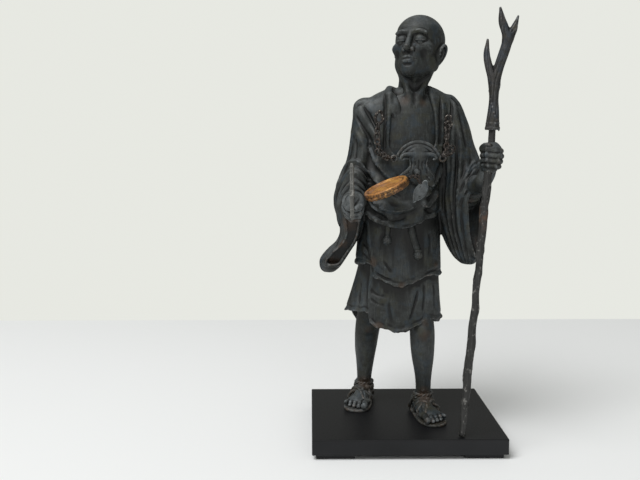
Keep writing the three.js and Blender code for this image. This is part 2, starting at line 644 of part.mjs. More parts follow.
function chain(side) {
  const top = side < 0 ? [-14.6, -12.6, 163] : [20.8, -12, 162];
  const low = [YOKE_MIDDLE + side * 18.3, -15.4, side < 0 ? 143 : 144.6];
  const links = Array.from({ length: LINK_COUNT }, (_, i) => {
    const share = (i + 0.5) / LINK_COUNT;
    const place = top.map((value, c) => mix(value, low[c], share));
    const sag = CHAIN_SAG * Math.sin(Math.PI * share);
    const ring = new THREE.TorusGeometry(LINK_RADIUS, LINK_WIRE, 4, 6).scale(1, 1.3, 1);
    ring.rotateX(Math.PI / 2).rotateZ(i % 2 ? Math.PI / 2 : 0);
    return ring.translate(place[0] + side * sag, place[1] - sag, place[2]);
  });
  return joined(links);
}

// The mallet's handle from its tail, which ends a little below the fist, to the head.
function malletHandle(tailLength, radius) {
  const tail = vector(MALLET_FIST).addScaledVector(vector(MALLET_DIRECTION).normalize(), -tailLength);
  return limb([[...tail.toArray(), radius], [...MALLET_HEAD, radius]], 6, 1);
}

// The small mallet: a thin handle through the fist, and a slim bar across its end.
function mallet() {
  const [x, y, z] = MALLET_HEAD;
  const bar = [
    [x + 0.2, y, z - MALLET_HEAD_HALF, MALLET_HEAD_RADIUS],
    [x, y, z, MALLET_HEAD_RADIUS + 0.2],
    [x - 0.2, y, z + MALLET_HEAD_HALF, MALLET_HEAD_RADIUS],
  ];
  return joined([malletHandle(MALLET_TAIL, MALLET_RADIUS), limb(bar, 7, 2)]);
}

// The plinth: a plain slab on a set-back plate with a foot at each corner.
function plinth() {
  const box = (width, depth, height, x, y, z) => (
    new THREE.BoxGeometry(width, depth, height).translate(x, y, z + height / 2)
  );
  const plateWidth = PLINTH_WIDTH - 2 * PLATE_INSET;
  const plateDepth = PLINTH_DEPTH - 2 * PLATE_INSET;
  const corners = [[-1, -1], [1, -1], [1, 1], [-1, 1]];
  return joined([
    box(PLINTH_WIDTH, PLINTH_DEPTH, SLAB_HEIGHT, 0, 0, FOOT_HEIGHT + PLATE_HEIGHT),
    box(plateWidth, plateDepth, PLATE_HEIGHT + 1, 0, 0, FOOT_HEIGHT),
    ...corners.map(([sx, sy]) => box(FOOT_LENGTH, FOOT_LENGTH, FOOT_HEIGHT + 1,
      (sx * (plateWidth - FOOT_LENGTH)) / 2, (sy * (plateDepth - FOOT_LENGTH)) / 2, 0)),
  ]);
}

function monk() {
  const cloth = [
    robeBody(),
    sleeveSolid(RIGHT_SLEEVE, 14, 12, RIGHT_SLEEVE_FOLDS),
    sleeveSolid(LEFT_SLEEVE, 16, 10, LEFT_SLEEVE_FOLDS),
  ];
  const hollows = joined([
    sleeveMouth(RIGHT_SLEEVE, 81.6, 128, [0.6, -7]),
    sleeveMouth(LEFT_SLEEVE, 88, 116, [6.6, -6]),
    ball([4.4, -7, 177], [10.6, 9.4, 14], [0, 0, 0], 10, 6),
  ]);
  const sashes = [...sashEnd(-9.4, 7.4, -0.6), ...sashEnd(2.4, 15, 4)];
  const trims = [...[-1, 1].map(collarBand), ...frontFolds(), ...sashes];
  const body = joined(cloth).subtract(hollows);
  const rest = joined([...trims, neck(), ...head(), ...arms(), ...legs(), ...feet()]);
  const rodSpace = joined([staffShaft(GAP), malletHandle(MALLET_TAIL + 2, MALLET_RADIUS + GAP)]);
  return body.add(rest).subtract(rodSpace);
}

const resin = new THREE.MeshStandardMaterial({ color: 0x3c4043, roughness: 0.62, metalness: 0.05 });
const agedWood = new THREE.MeshStandardMaterial({ color: 0x35332f, roughness: 0.66, metalness: 0 });
const antlerFinish = new THREE.MeshStandardMaterial({ color: 0x413d38, roughness: 0.6, metalness: 0 });
const oldGold = new THREE.MeshStandardMaterial({ color: 0xb4773c, roughness: 0.42, metalness: 0.6 });
const darkBronze = new THREE.MeshStandardMaterial({ color: 0x47413c, roughness: 0.5, metalness: 0.5 });
const blackLacquer = new THREE.MeshStandardMaterial({ color: 0x1b1b1d, roughness: 0.4, metalness: 0 });

function named(name, geometry, material) {
  geometry.computeVertexNormals();
  const mesh = new THREE.Mesh(geometry, material);
  mesh.name = name;
  return mesh;
}

// The yoke is cut back to lie just in front of the robe, and the knot just in front of the yoke.
const inFrontOf = (solid) => manifold(moved(geometryOf(solid), 0, -GAP, 0));
const figure = monk();
const yokeSolid = yoke().subtract(inFrontOf(figure));
const knotSolid = hangerKnot().subtract(inFrontOf(yokeSolid));

const group = new THREE.Group();
group.add(named("plinth", geometryOf(plinth()), blackLacquer));
const upper = new THREE.Group();
upper.position.z = PLINTH_TOP;
upper.add(
  named("monk_figure", geometryOf(figure), resin),
  named("staff_shaft", staffShaft(), agedWood),
  named("staff_antler_head", geometryOf(antlerHead()), antlerFinish),
  named("chest_yoke", geometryOf(yokeSolid), resin),
  named("gong", gong(), oldGold),
  named("gong_hanger_knot", geometryOf(knotSolid), darkBronze),
  named("chain_right", geometryOf(chain(-1)), darkBronze),
  named("chain_left", geometryOf(chain(1)), darkBronze),
  named("mallet", geometryOf(mallet()), agedWood),
);
group.add(upper);

export default group;
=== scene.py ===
"""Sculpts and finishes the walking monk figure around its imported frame, and sets the stage for it."""
import math
from itertools import product
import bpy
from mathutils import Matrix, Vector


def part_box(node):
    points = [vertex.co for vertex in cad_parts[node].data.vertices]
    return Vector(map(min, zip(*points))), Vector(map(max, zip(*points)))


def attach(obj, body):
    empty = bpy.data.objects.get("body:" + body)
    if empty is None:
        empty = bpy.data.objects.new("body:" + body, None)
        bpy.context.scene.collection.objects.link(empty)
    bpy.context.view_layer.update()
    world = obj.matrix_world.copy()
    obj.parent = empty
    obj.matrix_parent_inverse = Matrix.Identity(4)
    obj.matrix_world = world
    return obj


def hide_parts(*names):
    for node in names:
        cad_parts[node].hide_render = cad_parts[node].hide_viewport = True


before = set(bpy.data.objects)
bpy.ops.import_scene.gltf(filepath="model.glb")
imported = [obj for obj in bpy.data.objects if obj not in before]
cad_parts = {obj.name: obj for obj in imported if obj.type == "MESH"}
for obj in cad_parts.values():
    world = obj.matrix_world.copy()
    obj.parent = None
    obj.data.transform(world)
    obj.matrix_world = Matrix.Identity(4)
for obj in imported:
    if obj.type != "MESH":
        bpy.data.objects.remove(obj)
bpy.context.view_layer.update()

from types import SimpleNamespace

import bmesh
import bpy
import numpy as np
from mathutils import Euler, Vector

bl_info = {
    "name": "Walking Monk Figure",
    "version": (1, 0, 0),
    "blender": (4, 5, 0),
    "location": "View3D > Sidebar > Monk",
    "description": "Sculpts and finishes the monk figure around its frame",
    "category": "Add Mesh",
}

# Shapes are worked out in millimetres, with heights from the plinth's top, as in the figure's drawings.
MM = 0.001
PLINTH_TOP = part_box("plinth")[1][2] / MM
FAR = 50.0


# Sizes and blends

def ease(t):
    t = np.clip(t, 0, 1)
    return t * t * (3 - 2 * t)


def mix(a, b, t):
    return a + (b - a) * t


def smooth_low(a, b, soft):
    """The lower of two distances, with their meeting rounded over soft."""
    low = np.minimum(a, b)
    if soft <= 0:
        return low
    share = np.maximum(soft - np.abs(a - b), 0) / soft
    return low - share * share * soft * 0.25


def smooth_high(a, b, soft):
    return -smooth_low(-a, -b, soft)


def bump(distance, width):
    """A soft hill of height 1 at distance 0."""
    return np.exp(-(distance / width) ** 2)


def height_table(rows):
    """A smooth curve through the rows of a table whose first column is the height."""
    rows = np.array(rows, float)
    heights, values = rows[:, 0], rows[:, 1:]
    low = np.maximum(np.arange(len(rows)) - 1, 0)
    high = np.minimum(np.arange(len(rows)) + 1, len(rows) - 1)
    slopes = (values[high] - values[low]) / (heights[high] - heights[low])[:, None]

    def at(z):
        z = np.clip(z, heights[0], heights[-1])
        i = np.clip(np.searchsorted(heights, z, side="right") - 1, 0, len(rows) - 2)
        span = (heights[i + 1] - heights[i])[:, None]
        t = ((z - heights[i])[:, None]) / span
        h1 = t * t * (3 - 2 * t)
        h2 = t * (1 - t) ** 2
        h3 = -t * t * (1 - t)
        return (mix(values[i], values[i + 1], h1) + span * (h2 * slopes[i] + h3 * slopes[i + 1])).T
    return at


def around(values):
    """Values at equal bearings round the body, from +X towards +Y, joined smoothly."""
    values = np.array(values, float)

    def at(angle):
        place = (angle / (2 * math.pi)) % 1 * len(values)
        i = np.floor(place).astype(int) % len(values)
        return mix(values[i], values[(i + 1) % len(values)], ease(place - np.floor(place)))
    return at


def section_radius(angle, half_x, half_y, power):
    across = np.abs(np.cos(angle) / half_x) ** power
    deep = np.abs(np.sin(angle) / half_y) ** power
    return (across + deep) ** (-1 / power)


def spline(points, count):
    """A smooth curve through points of any number of columns, cut into equal shares."""
    p = np.array(points, float)
    if len(p) == 2:
        return p[0] + (p[1] - p[0]) * np.linspace(0, 1, count)[:, None]
    p = np.vstack([2 * p[0] - p[1], p, 2 * p[-1] - p[-2]])
    place = np.linspace(0, len(p) - 3, count)
    i = np.clip(place.astype(int), 0, len(p) - 4)
    t = (place - i)[:, None]
    a, b, c, d = p[i], p[i + 1], p[i + 2], p[i + 3]
    return 0.5 * (2 * b + (c - a) * t + (2 * a - 5 * b + 4 * c - d) * t ** 2 + (3 * b - a - 3 * c + d)
                  * t ** 3)


def along_path(points, path):
    """How far each point is from a path, and the share of the path's length at the nearest place."""
    start = path[:-1]
    run = path[1:] - start
    rel = points[:, None] - start[None]
    t = np.clip((rel * run).sum(2) / np.maximum((run * run).sum(1), 1e-9), 0, 1)
    gap = rel - t[..., None] * run
    square = (gap * gap).sum(2)
    best = square.argmin(1)
    rows = np.arange(len(points))
    return np.sqrt(square[rows, best]), (best + t[rows, best]) / len(run)


# Soft solids: a field gives the distance from its surface in millimetres, and is negative inside

class Shape:
    """A field, and the box from low to high that it is worked out in."""

    def __init__(self, field, low, high):
        self.field, self.low, self.high = field, np.array(low, float), np.array(high, float)


def turned(turn):
    return np.array(Euler([math.radians(t) for t in turn], "XYZ").to_matrix())


def ball(place, radii, turn=(0, 0, 0)):
    place = np.array(place, float)
    radii = np.array(radii, float) * np.ones(3)
    frame_axes = turned(turn)

    def field(points):
        q = (points - place) @ frame_axes / radii
        length = np.sqrt((q * q).sum(1)) + 1e-9
        slope = np.sqrt(((q / radii) ** 2).sum(1)) + 1e-9
        return length * (length - 1) / slope
    return Shape(field, place - radii.max(), place + radii.max())


def tube(stations, count=None):
    """A round limb through stations of the form (x, y, z, radius)."""
    count = count or 4 * (len(stations) - 1) + 1
    line = spline(stations, count)
    path, radii = line[:, :3], line[:, 3]
    shares = np.linspace(0, 1, count)

    def field(points):
        distance, share = along_path(points, path)
        return distance - np.interp(share, shares, radii)
    return Shape(field, (path - radii[:, None]).min(0), (path + radii[:, None]).max(0))


def framed(axes, place):
    """A 4 by 4 matrix for a frame with these axes at a place."""
    pose = np.eye(4)
    pose[:3, :3], pose[:3, 3] = axes, place
    return pose


def moved_shape(shape, matrix):
    """A shape carried to another place by a 4 by 4 matrix without scale."""
    matrix = np.array(matrix, float)
    axes, place = matrix[:3, :3], matrix[:3, 3]
    corners = np.array(list(product(*zip(shape.low, shape.high)))) @ axes.T + place
    return Shape(lambda points: shape.field((points - place) @ axes), corners.min(0), corners.max(0))


CORNERS = list(product((0, 1), repeat=3))


def grouped(keys):
    """The numbers of the rows that share a block, block by block."""
    flat = (keys[:, 0] * 4096 + keys[:, 1]) * 4096 + keys[:, 2]
    order = np.argsort(flat, kind="stable")
    return np.split(order, np.flatnonzero(np.diff(flat[order])) + 1)


class Clay:
    """A solid that is built up, cut and pressed step by step, and then skinned as a mesh."""

    def __init__(self, cell):
        self.cell = cell
        self.steps = []
        self.pose = None

    def step(self, kind, shape, amount):
        self.steps.append((kind, shape if self.pose is None else moved_shape(shape, self.pose), amount))

    def add(self, shape, soft=0.0):
        self.step("add", shape, soft)

    def cut(self, shape, soft=0.0):
        self.step("cut", shape, soft)

    def swell(self, shape, height):
        """Raises the surface by height times the shape's field, or sinks it where height is negative."""
        self.step("swell", shape, height)

    def ball(self, soft, *form):
        self.add(ball(*form), soft)

    def limb(self, soft, stations, count=None):
        self.add(tube(stations, count), soft)

    def line(self, width, height, points, fade=0.3):
        """A soft ridge or crease through places near the surface."""
        self.swell(ridge(np.array(points, float), width, fade), height)

    def stroke(self, width, height, points):
        """The same along a smooth curve through a few places."""
        self.line(width, height, spline(points, 4 * len(points)))

    def value(self, points):
        result = np.full(len(points), FAR)
        if not len(points):
            return result
        low, high = points.min(0), points.max(0)
        for kind, shape, amount in self.steps:
            reach = 0 if kind == "swell" else 5 * self.cell + amount
            near_low, near_high = shape.low - reach, shape.high + reach
            if (near_low > high).any() or (near_high < low).any():
                continue
            near = ((points >= near_low) & (points <= near_high)).all(1)
            if not near.any():
                continue
            old, new = result[near], shape.field(points[near])
            if kind == "add":
                result[near] = smooth_low(old, new, amount)
            elif kind == "cut":
                result[near] = smooth_high(old, -new, amount)
            else:
                result[near] = old - amount * new
        return result

    def spread_value(self, points, block):
        """value() for points that lie far apart, worked out block by block."""
        result = np.empty(len(points))
        for group in grouped(np.floor((points - points.min(0)) / block).astype(np.int64)):
            result[group] = self.value(points[group])
        return result

    def slope(self, points, probe=0.4):
        """The direction out of the clay at each point."""
        middle = self.spread_value(points, 16.0)
        return np.stack([self.spread_value(points + probe * axis, 16.0) - middle for axis in np.eye(3)], 1)

    def meet(self, start, direction, reach=90.0, step=0.5):
        """Where rays from outside first meet the surface, or NaN where one misses it."""
        start = np.atleast_2d(np.array(start, float))
        direction = np.array(direction, float)
        steps = np.arange(0, reach, step)
        points = start[:, None] + steps[None, :, None] * direction
        inside = self.spread_value(points.reshape(-1, 3), 16.0).reshape(len(start), -1) < 0
        distance = np.where(inside.any(1), steps[inside.argmax(1)], np.nan)
        return start + distance[:, None] * direction

    def skin(self):
        """The surface as vertices and quads, closed and facing out."""
        cell, coarse = self.cell, 4 * self.cell
        adds = [shape for kind, shape, _ in self.steps if kind == "add"]
        low = np.min([s.low for s in adds], 0) - 3 * coarse
        high = np.max([s.high for s in adds], 0) + 3 * coarse
        counts = np.ceil((high - low) / coarse).astype(int)
        corners = np.stack(np.meshgrid(*[np.arange(n + 1) for n in counts], indexing="ij"), -1)
        coarse_values = self.spread_value(low + corners.reshape(-1, 3) * coarse, 8 * coarse)
        coarse_values = coarse_values.reshape(counts + 1)
        near = np.abs(coarse_values) < 1.15 * coarse
        active = np.zeros(counts, bool)
        for i, j, k in CORNERS:
            active |= near[i:counts[0] + i, j:counts[1] + j, k:counts[2] + k]
        grown = active.copy()
        grown[1:] |= active[:-1]
        grown[:, 1:] |= grown[:, :-1].copy()
        grown[:, :, 1:] |= grown[:, :, :-1].copy()
        values = np.where(coarse_values[:-1, :-1, :-1] < 0, -FAR, FAR).astype(np.float32)
        for axis in range(3):
            values = np.repeat(values, 4, axis=axis)
        offsets = np.stack(np.meshgrid(*[np.arange(4)] * 3, indexing="ij"), -1).reshape(-1, 3)
        cells = np.argwhere(grown)
        for group in grouped(cells // 4):
            index = (cells[group][:, None] * 4 + offsets[None]).reshape(-1, 3)
            values[index[:, 0], index[:, 1], index[:, 2]] = self.value(low + index * cell)
        vertices, quads = surface_nets(values)
        vertices = low + vertices * cell
        for _ in range(2):
            vertices = self.settle(vertices)
        return vertices, quads

    def settle(self, vertices):
        """Moves vertices onto the surface along the field's slope."""
        probe = 0.3 * self.cell
        corners = np.array([[1, -1, -1], [-1, -1, 1], [-1, 1, -1], [1, 1, 1]], float)
        slope = np.zeros_like(vertices)
        middle = np.zeros(len(vertices))
        for corner in corners:
            value = self.spread_value(vertices + corner * probe, 16.0)
            slope += corner * value[:, None]
            middle += value / 4
        slope /= 4 * probe
        square = np.maximum((slope * slope).sum(1), 0.25)
        step = -(middle / square)[:, None] * slope
        length = np.linalg.norm(step, axis=1, keepdims=True)
        most = 0.5 * self.cell
        return vertices + step * np.minimum(1, most / np.maximum(length, 1e-9))


def surface_nets(values):
    """Vertices, one in each cell that the surface crosses, and the quads that join them."""
    inside = values < 0
    shape = np.array(values.shape) - 1
    count = np.zeros(shape, np.uint8)
    for i, j, k in CORNERS:
        count += inside[i:shape[0] + i, j:shape[1] + j, k:shape[2] + k]
    cells = np.argwhere((count > 0) & (count < 8))
    flat = (cells[:, 0] * shape[1] + cells[:, 1]) * shape[2] + cells[:, 2]
    total = np.zeros((len(cells), 3))
    crossings = np.zeros(len(cells))
    for axis in range(3):
        others = [a for a in range(3) if a != axis]
        for corner in product((0, 1), repeat=2):
            start = np.zeros(3, int)
            start[others] = corner
            end = start.copy()
            end[axis] = 1
            a, b = values[tuple((cells + start).T)], values[tuple((cells + end).T)]
            cross = (a < 0) != (b < 0)
            t = np.where(cross, a / np.where(cross, a - b, 1), 0)
            total += cross[:, None] * (start + t[:, None] * (end - start))
            crossings += cross
    vertices = cells + total / crossings[:, None]
    quads = []
    for axis in range(3):
        ahead = [slice(None)] * 3
        behind = [slice(None)] * 3
        ahead[axis], behind[axis] = slice(1, None), slice(None, -1)
        changes = np.argwhere(inside[tuple(ahead)] != inside[tuple(behind)])
        u, v = [(1, 2), (2, 0), (0, 1)][axis]
        changes = changes[(changes[:, u] > 0) & (changes[:, v] > 0)]
        ring = []
        for du, dv in ((-1, -1), (0, -1), (0, 0), (-1, 0)):
            near = changes.copy()
            near[:, u] += du
            near[:, v] += dv
            ring.append(np.searchsorted(flat, (near[:, 0] * shape[1] + near[:, 1]) * shape[2] + near[:, 2]))
        ring = np.stack(ring, 1)
        leaving = inside[tuple(changes.T)]
        quads.append(np.where(leaving[:, None], ring, ring[:, ::-1]))
    return vertices, np.concatenate(quads)


# Strokes drawn on the clay's surface as it is seen from one side

VIEWS = {
    "front": (np.array([0.0, 1.0, 0.0]), lambda a, b: (a, -60.0, b)),
    "back": (np.array([0.0, -1.0, 0.0]), lambda a, b: (a, 60.0, b)),
    "left": (np.array([1.0, 0.0, 0.0]), lambda a, b: (-60.0, a, b)),
    "right": (np.array([-1.0, 0.0, 0.0]), lambda a, b: (60.0, a, b)),
}


def on_surface(clay, view, lines, spacing=2.0):
    """Lines drawn on the surface, as places. Given as (x, z), or as (y, z) from the left or right."""
    direction, outside = VIEWS[view]
    drawn = []
    for line in lines:
        flat = np.array(line, float)
        length = np.linalg.norm(np.diff(flat, axis=0), axis=1).sum()
        drawn.append(np.array([outside(a, b) for a, b in spline(flat, max(3, int(length / spacing) + 2))]))
    met = clay.meet(np.vstack(drawn), direction)
    paths = []
    for path in np.split(met, np.cumsum([len(line) for line in drawn])[:-1]):
        path = path[~np.isnan(path[:, 0])]
        jumps = np.flatnonzero(np.linalg.norm(np.diff(path, axis=0), axis=1) > 2.5 * spacing) + 1
        paths.append(max(np.split(path, jumps), key=len))
    return paths


def ridge(path, width, ends=0.3):
    """A soft ridge along a path, fading out at both ends."""
    def field(points):
        distance, share = along_path(points, path)
        taper = ease(np.minimum(share, 1 - share) / ends) if ends else 1.0
        return bump(distance, width) * taper
    reach = 2.2 * width
    return Shape(field, path.min(0) - reach, path.max(0) + reach)


def lap(path, normals, sharp, wide, ends=0.2):
    """A step up on one side of a path, on the left hand of somebody walking along it, easing down again."""
    aside = np.cross(normals, np.gradient(path, axis=0))
    aside /= np.maximum(np.linalg.norm(aside, axis=1, keepdims=True), 1e-9)

    def field(points):
        gap = points[:, None] - path[None]
        best = (gap * gap).sum(2).argmin(1)
        side = (gap[np.arange(len(points)), best] * aside[best]).sum(1)
        _, share = along_path(points, path)
        taper = ease(np.minimum(share, 1 - share) / ends)
        return taper * ease((side + sharp) / (2 * sharp)) * (1 - ease(side / wide))
    return Shape(field, path.min(0) - wide, path.max(0) + wide)


def draw_ridges(clay, view, lines):
    """Ridges, or creases where the height is negative. Each has a width, a height and its line."""
    for (width, height, _), path in zip(lines, on_surface(clay, view, [line for *_, line in lines])):
        if len(path) > 1:
            clay.line(width, height, path)


def draw_laps(clay, view, lines, sharp=0.7):
    """Edges where cloth laps over itself, higher left of the line. Each has a width, a height, a line."""
    for (wide, height, _), path in zip(lines, on_surface(clay, view, [line for *_, line in lines], 1.0)):
        if len(path) > 2:
            clay.swell(lap(path, clay.slope(path), sharp, wide), height)


# The robe: sections of the body by height, with middle x and y, half width and half depth

BODY = height_table([
    [44, -4, 7.5, 26, 18.8], [60, -3, 7, 24, 17.4], [76, -2.6, 6.5, 22.4, 16.4], [92, -2.2, 6, 21.2, 15.6],
    [108, -1.6, 5.6, 20, 15], [124, -0.6, 5.6, 19.4, 15], [140, 0.6, 6, 20.4, 15], [154, 1.4, 6.4, 22, 14],
    [164, 2, 6.8, 23.2, 12.4], [171, 2.8, 7.2, 22, 11], [175, 3.6, 7.4, 18, 9.6],
                     [178, 4.4, 7.6, 12.4, 8.4],
    [179.5, 4.8, 7.6, 8.4, 6.6],
])
BODY_POWER = 2.35
BODY_TOP = 179.5
CLOTH_STEP = 1.7
POUCH_DEPTH = 3.2

skirt_hem = around([52, 46, 46.5, 47, 57.5, 57.5, 47.6, 52.5])
jacket_hem = around([78, 78, 77, 79, 84, 84, 80, 78.5])
vest_hem = around([121, 122, 121, 121, 121, 108.5, 104.4, 110])


def body_space(points):
    """The bearing round the body, and how far out from its section each point is."""
    x, y, half_x, half_y = BODY(points[:, 2])
    dx, dy = points[:, 0] - x, points[:, 1] - y
    angle = np.arctan2(dy, dx)
    return angle, np.hypot(dx, dy) - section_radius(angle, half_x, half_y, BODY_POWER)


def pleats(angle, share, folds):
    """Soft ridges up a garment. Each has its bearing at foot and head, width, height and fade."""
    total = np.zeros_like(angle)
    for foot, head, wide, high, fade in folds:
        away = angle - np.radians(mix(foot, head, share))
        away = (away + math.pi) % (2 * math.pi) - math.pi
        total += high * bump(away, math.radians(wide)) * mix(1, fade, share)
    return total


def hem_ripple(angle):
    """The small rise and fall of a hem, so that no two stretches are alike."""
    return 0.45 * np.sin(7 * angle + 1) + 0.35 * np.sin(13 * angle + 2.2) + 0.2 * np.sin(29 * angle)


def garment(hem, top, outset, folds, low, high, bead=0.8, crease=0.35, covered=False, ripple=1.0):
    """One layer of cloth round the body, from its hem up, with a soft bead and a sewn line at the hem."""
    def field(points):
        angle, out = body_space(points)
        z = points[:, 2]
        bottom = hem(angle) + ripple * hem_ripple(angle)
        share = np.clip((z - bottom) / (top(angle) - bottom), 0, 1)
        sewn = crease * bump(z - bottom - 2.6, 0.7)
        side = 0.92 * (out - outset(share, angle) - pleats(angle, share, folds) + sewn)
        below = bottom - z
        layer = smooth_high(smooth_high(side, below, 0.8), z - BODY_TOP, 1.0)
        thick = bead * (0.85 + 0.3 * np.sin(5 * angle + 0.7))
        if covered:
            thick = thick * (1 - 0.7 * ease((-np.sin(angle) - 0.1) / 0.3))
        return smooth_low(layer, np.hypot(side + 0.3, below + 0.4) - thick, 0.5)
    return Shape(field, (-34, -20, low), (30, 32, high))


def front_flap(hem, edge, outset, low, high, bead=0.8, folds=()):
    """A panel that laps over the front, with its hem by x and its free edge by height."""
    hem_x, hem_z = np.array(hem, float).T
    edge_z, edge_x = np.array(edge, float).T

    def field(points):
        angle, out = body_space(points)
        x, z = points[:, 0], points[:, 2]
        bottom = np.interp(x, hem_x, hem_z) + 0.35 * np.sin(0.55 * x + 1) + 0.2 * np.sin(1.3 * x)
        share = np.clip((z - bottom) / (high - bottom), 0, 1)
        front = ease((-np.sin(angle) - 0.08) / 0.3)
        side = 0.92 * (out - outset * front - pleats(angle, share, folds)
                       + 0.3 * bump(z - bottom - 2.4, 0.6))
        below = 0.95 * (bottom - z)
        beside = 0.95 * (np.interp(z, edge_z, edge_x) - x)
        layer = smooth_high(smooth_high(side, below, 0.7), beside, 0.7)
        border = np.maximum(below, beside)
        layer = smooth_low(layer, np.hypot(side + 0.3, border + 0.4) - bead
                           * (0.85 + 0.3 * np.sin(0.4 * x + 0.3 * z)), 0.4)
        return np.maximum(np.maximum(layer, z - high), points[:, 1] - 10)
    return Shape(field, (-30, -20, low), (30, 10, high))


def skirt_folds():
    folds = []
    for i in range(13):
        foot = i * 360 / 13 + 8 * math.sin(i * 2.4)
        folds.append((foot, foot + 6 * math.sin(i * 1.7), 6.5, 1.3 + 0.5 * math.sin(i * 3.1), 0.1))
    folds.append((186, 180, 15, 3.0, -0.3))
    folds.append((262, 258, 34, 1.2, 0.3))
    return folds


def jacket_folds():
    return [(i * 36 + 12, i * 36 + 24, 7, 0.7 if 5 <= i <= 8 else 1 + 0.4 * math.sin(i * 2.1), 0.3)
            for i in range(10)]


def vest_folds():
    return [(252, 196, 7, 1.5, 0.3), (232, 212, 6, 1.2, 0.2), (292, 326, 7, 1.5, 0.3),
            (314, 338, 6, 1.1, 0.2)] + [
        (25 + i * 26, 35 + i * 22, 8, 1.2, 0.4) for i in range(6)]


def vest_outset(share, angle):
    flare = CLOTH_STEP * (1 - ease(share * 1.6))
    front = np.maximum(0, -np.sin(angle)) ** 2.4
    return CLOTH_STEP + flare + POUCH_DEPTH * front * bump(share - 0.1, 0.19)


def front_of(x, z, outset):
    """The front of the body at a place across it, as its y value."""
    middle_x, middle_y, half_x, half_y = (float(v[0]) for v in BODY(np.array([float(z)])))
    across = min(0.99, abs((x - middle_x) / (half_x + outset)))
    return middle_y - (half_y + outset) * (1 - across ** BODY_POWER) ** (1 / BODY_POWER)


# Sleeves as stacks of turned ellipses: height, middle x and y, half length, half width, turn

RIGHT_SLEEVE = height_table([
    [78.6, -40.2, 3, 2.4, 2.6, 0], [81.5, -39.6, 3, 5, 7, 0], [86, -38, 3, 6.5, 10.6, 0],
    [91, -34.6, 3, 6.2, 12.4, 0], [95.5, -30.8, 3, 5.2, 13.2, 0], [101, -28.6, 3, 5.1, 14, 0],
    [108, -28.4, 3, 6.2, 14.8, 0], [116, -28.6, 3, 7.4, 15, 0], [127, -27.4, 3.6, 7.6, 14, 0],
    [133, -25.4, 4.4, 7, 13, 0], [139, -23.4, 5.4, 6.8, 11.6, 0], [150, -21, 6.4, 7.4, 10, 0],
    [162, -19.4, 7, 7.5, 9, 0], [170, -19, 7, 7.3, 7.6, 0], [173.6, -18.6, 7, 4.6, 4.8, 0],
])
LEFT_SLEEVE = height_table([
    [84.6, 34, -8.8, 3, 2.4, -42], [88.5, 33.4, -8, 7, 5, -42], [96, 32, -6, 11, 6.4, -42],
    [106, 30.6, -4.2, 14.2, 7.6, -42], [118, 29.8, -3, 15.8, 8.8, -42], [128, 29.6, -1.4, 15, 9.4, -38],
    [136, 29.4, 1, 12.4, 9.6, -30], [147, 28, 3.6, 10.6, 9.8, -20], [160, 25, 6.2, 10, 9.2, -8],
    [170, 22.4, 7, 8.4, 7.8, 0], [175.4, 21.8, 7, 4.4, 4.6, 0],
])
SLEEVE_WALL = 1.6


def sleeve_space(points, table):
    x, y, along, across, turn = table(points[:, 2])
    turn = np.radians(turn)
    dx, dy = points[:, 0] - x, points[:, 1] - y
    u = dx * np.cos(turn) + dy * np.sin(turn)
    v = dy * np.cos(turn) - dx * np.sin(turn)
    angle = np.arctan2(v, u)
    return angle, np.hypot(u, v) - section_radius(angle, along, across, 2.2)


def sleeve(table, low, high, box_low, box_high, folds):
    def field(points):
        angle, out = sleeve_space(points, table)
        z = points[:, 2]
        share = np.clip((z - low) / (high - low), 0, 1)
        side = 0.8 * (out - pleats(angle, share, folds))
        return smooth_high(smooth_high(side, low - z, 1.2), z - high, 2.0)
    return Shape(field, box_low, box_high)


def sleeve_slot(table, low, high, wall, depth, arch, box_low, box_high):
    """The shallow hollow in front of a sleeve's tail, with a wall on each side, under an arched top."""
    arch_x, arch_drop = arch

    def field(points):
        x, y, z = points.T
        middle_x, middle_y, half_x, half_y, _ = table(z)
        side = smooth_high(np.abs(x - middle_x) - half_x + wall, y - middle_y + half_y - depth, 3.0)
        return smooth_high(smooth_high(0.8 * side, low - z, 2.0),
                           0.8 * (z - high + arch_drop * (x - arch_x) ** 2), 5.0)
    return Shape(field, box_low, box_high)


def sleeve_mouth(table, low, high, shift, arch, box_low, box_high):
    """The hollow behind a sleeve's opening, a thinner lower part pushed forwards under an arched top."""
    shift = np.array([shift[0], shift[1], 0.0])
    arch_x, arch_drop = arch

    def field(points):
        _, out = sleeve_space(points - shift, table)
        x, _, z = points.T
        top = high - arch_drop * (x - arch_x) ** 2
        return smooth_high(smooth_high(0.8 * (out + SLEEVE_WALL), low - z, 1.5), 0.8 * (z - top), 5.0)
    return Shape(field, box_low, box_high)


def mouth_rim(outer, hollow, radius, sink=0.3):
    """A rolled bead where a hollow breaks through the sleeve."""
    def field(points):
        return np.hypot(outer.field(points) + sink, hollow.field(points)) - radius
    return Shape(field, hollow.low - 2, hollow.high + 2)


def mouth_rolls(outer, hollow, gaps, width, low, high, fade, start=-99):
    """Ridges side by side round a sleeve's opening, between two heights."""
    def field(points):
        out = outer.field(points)
        slope = np.stack([outer.field(points + 0.4 * axis) - out for axis in np.eye(3)], 1) / 0.4
        flat = points - out[:, None] * slope / np.maximum((slope * slope).sum(1, keepdims=True), 0.2)
        distance = hollow.field(flat)
        rings = sum(bump(distance - gap - 0.5 * np.sin(0.21 * flat[:, 2] + gap), width) for gap in gaps)
        near = bump(np.maximum(np.abs(out) - 1.5, 0), 1.0) * ease((flat[:, 0] - start) / 5)
        return rings * near * ease((flat[:, 2] - low) / fade) * (1 - ease((flat[:, 2] - high) / fade))
    return Shape(field, hollow.low - 16, hollow.high + 16)


def rolls(stations):
    """Cloth bunched along an arm, as a limb whose radius swells and narrows."""
    return tube(stations, 6 * len(stations))


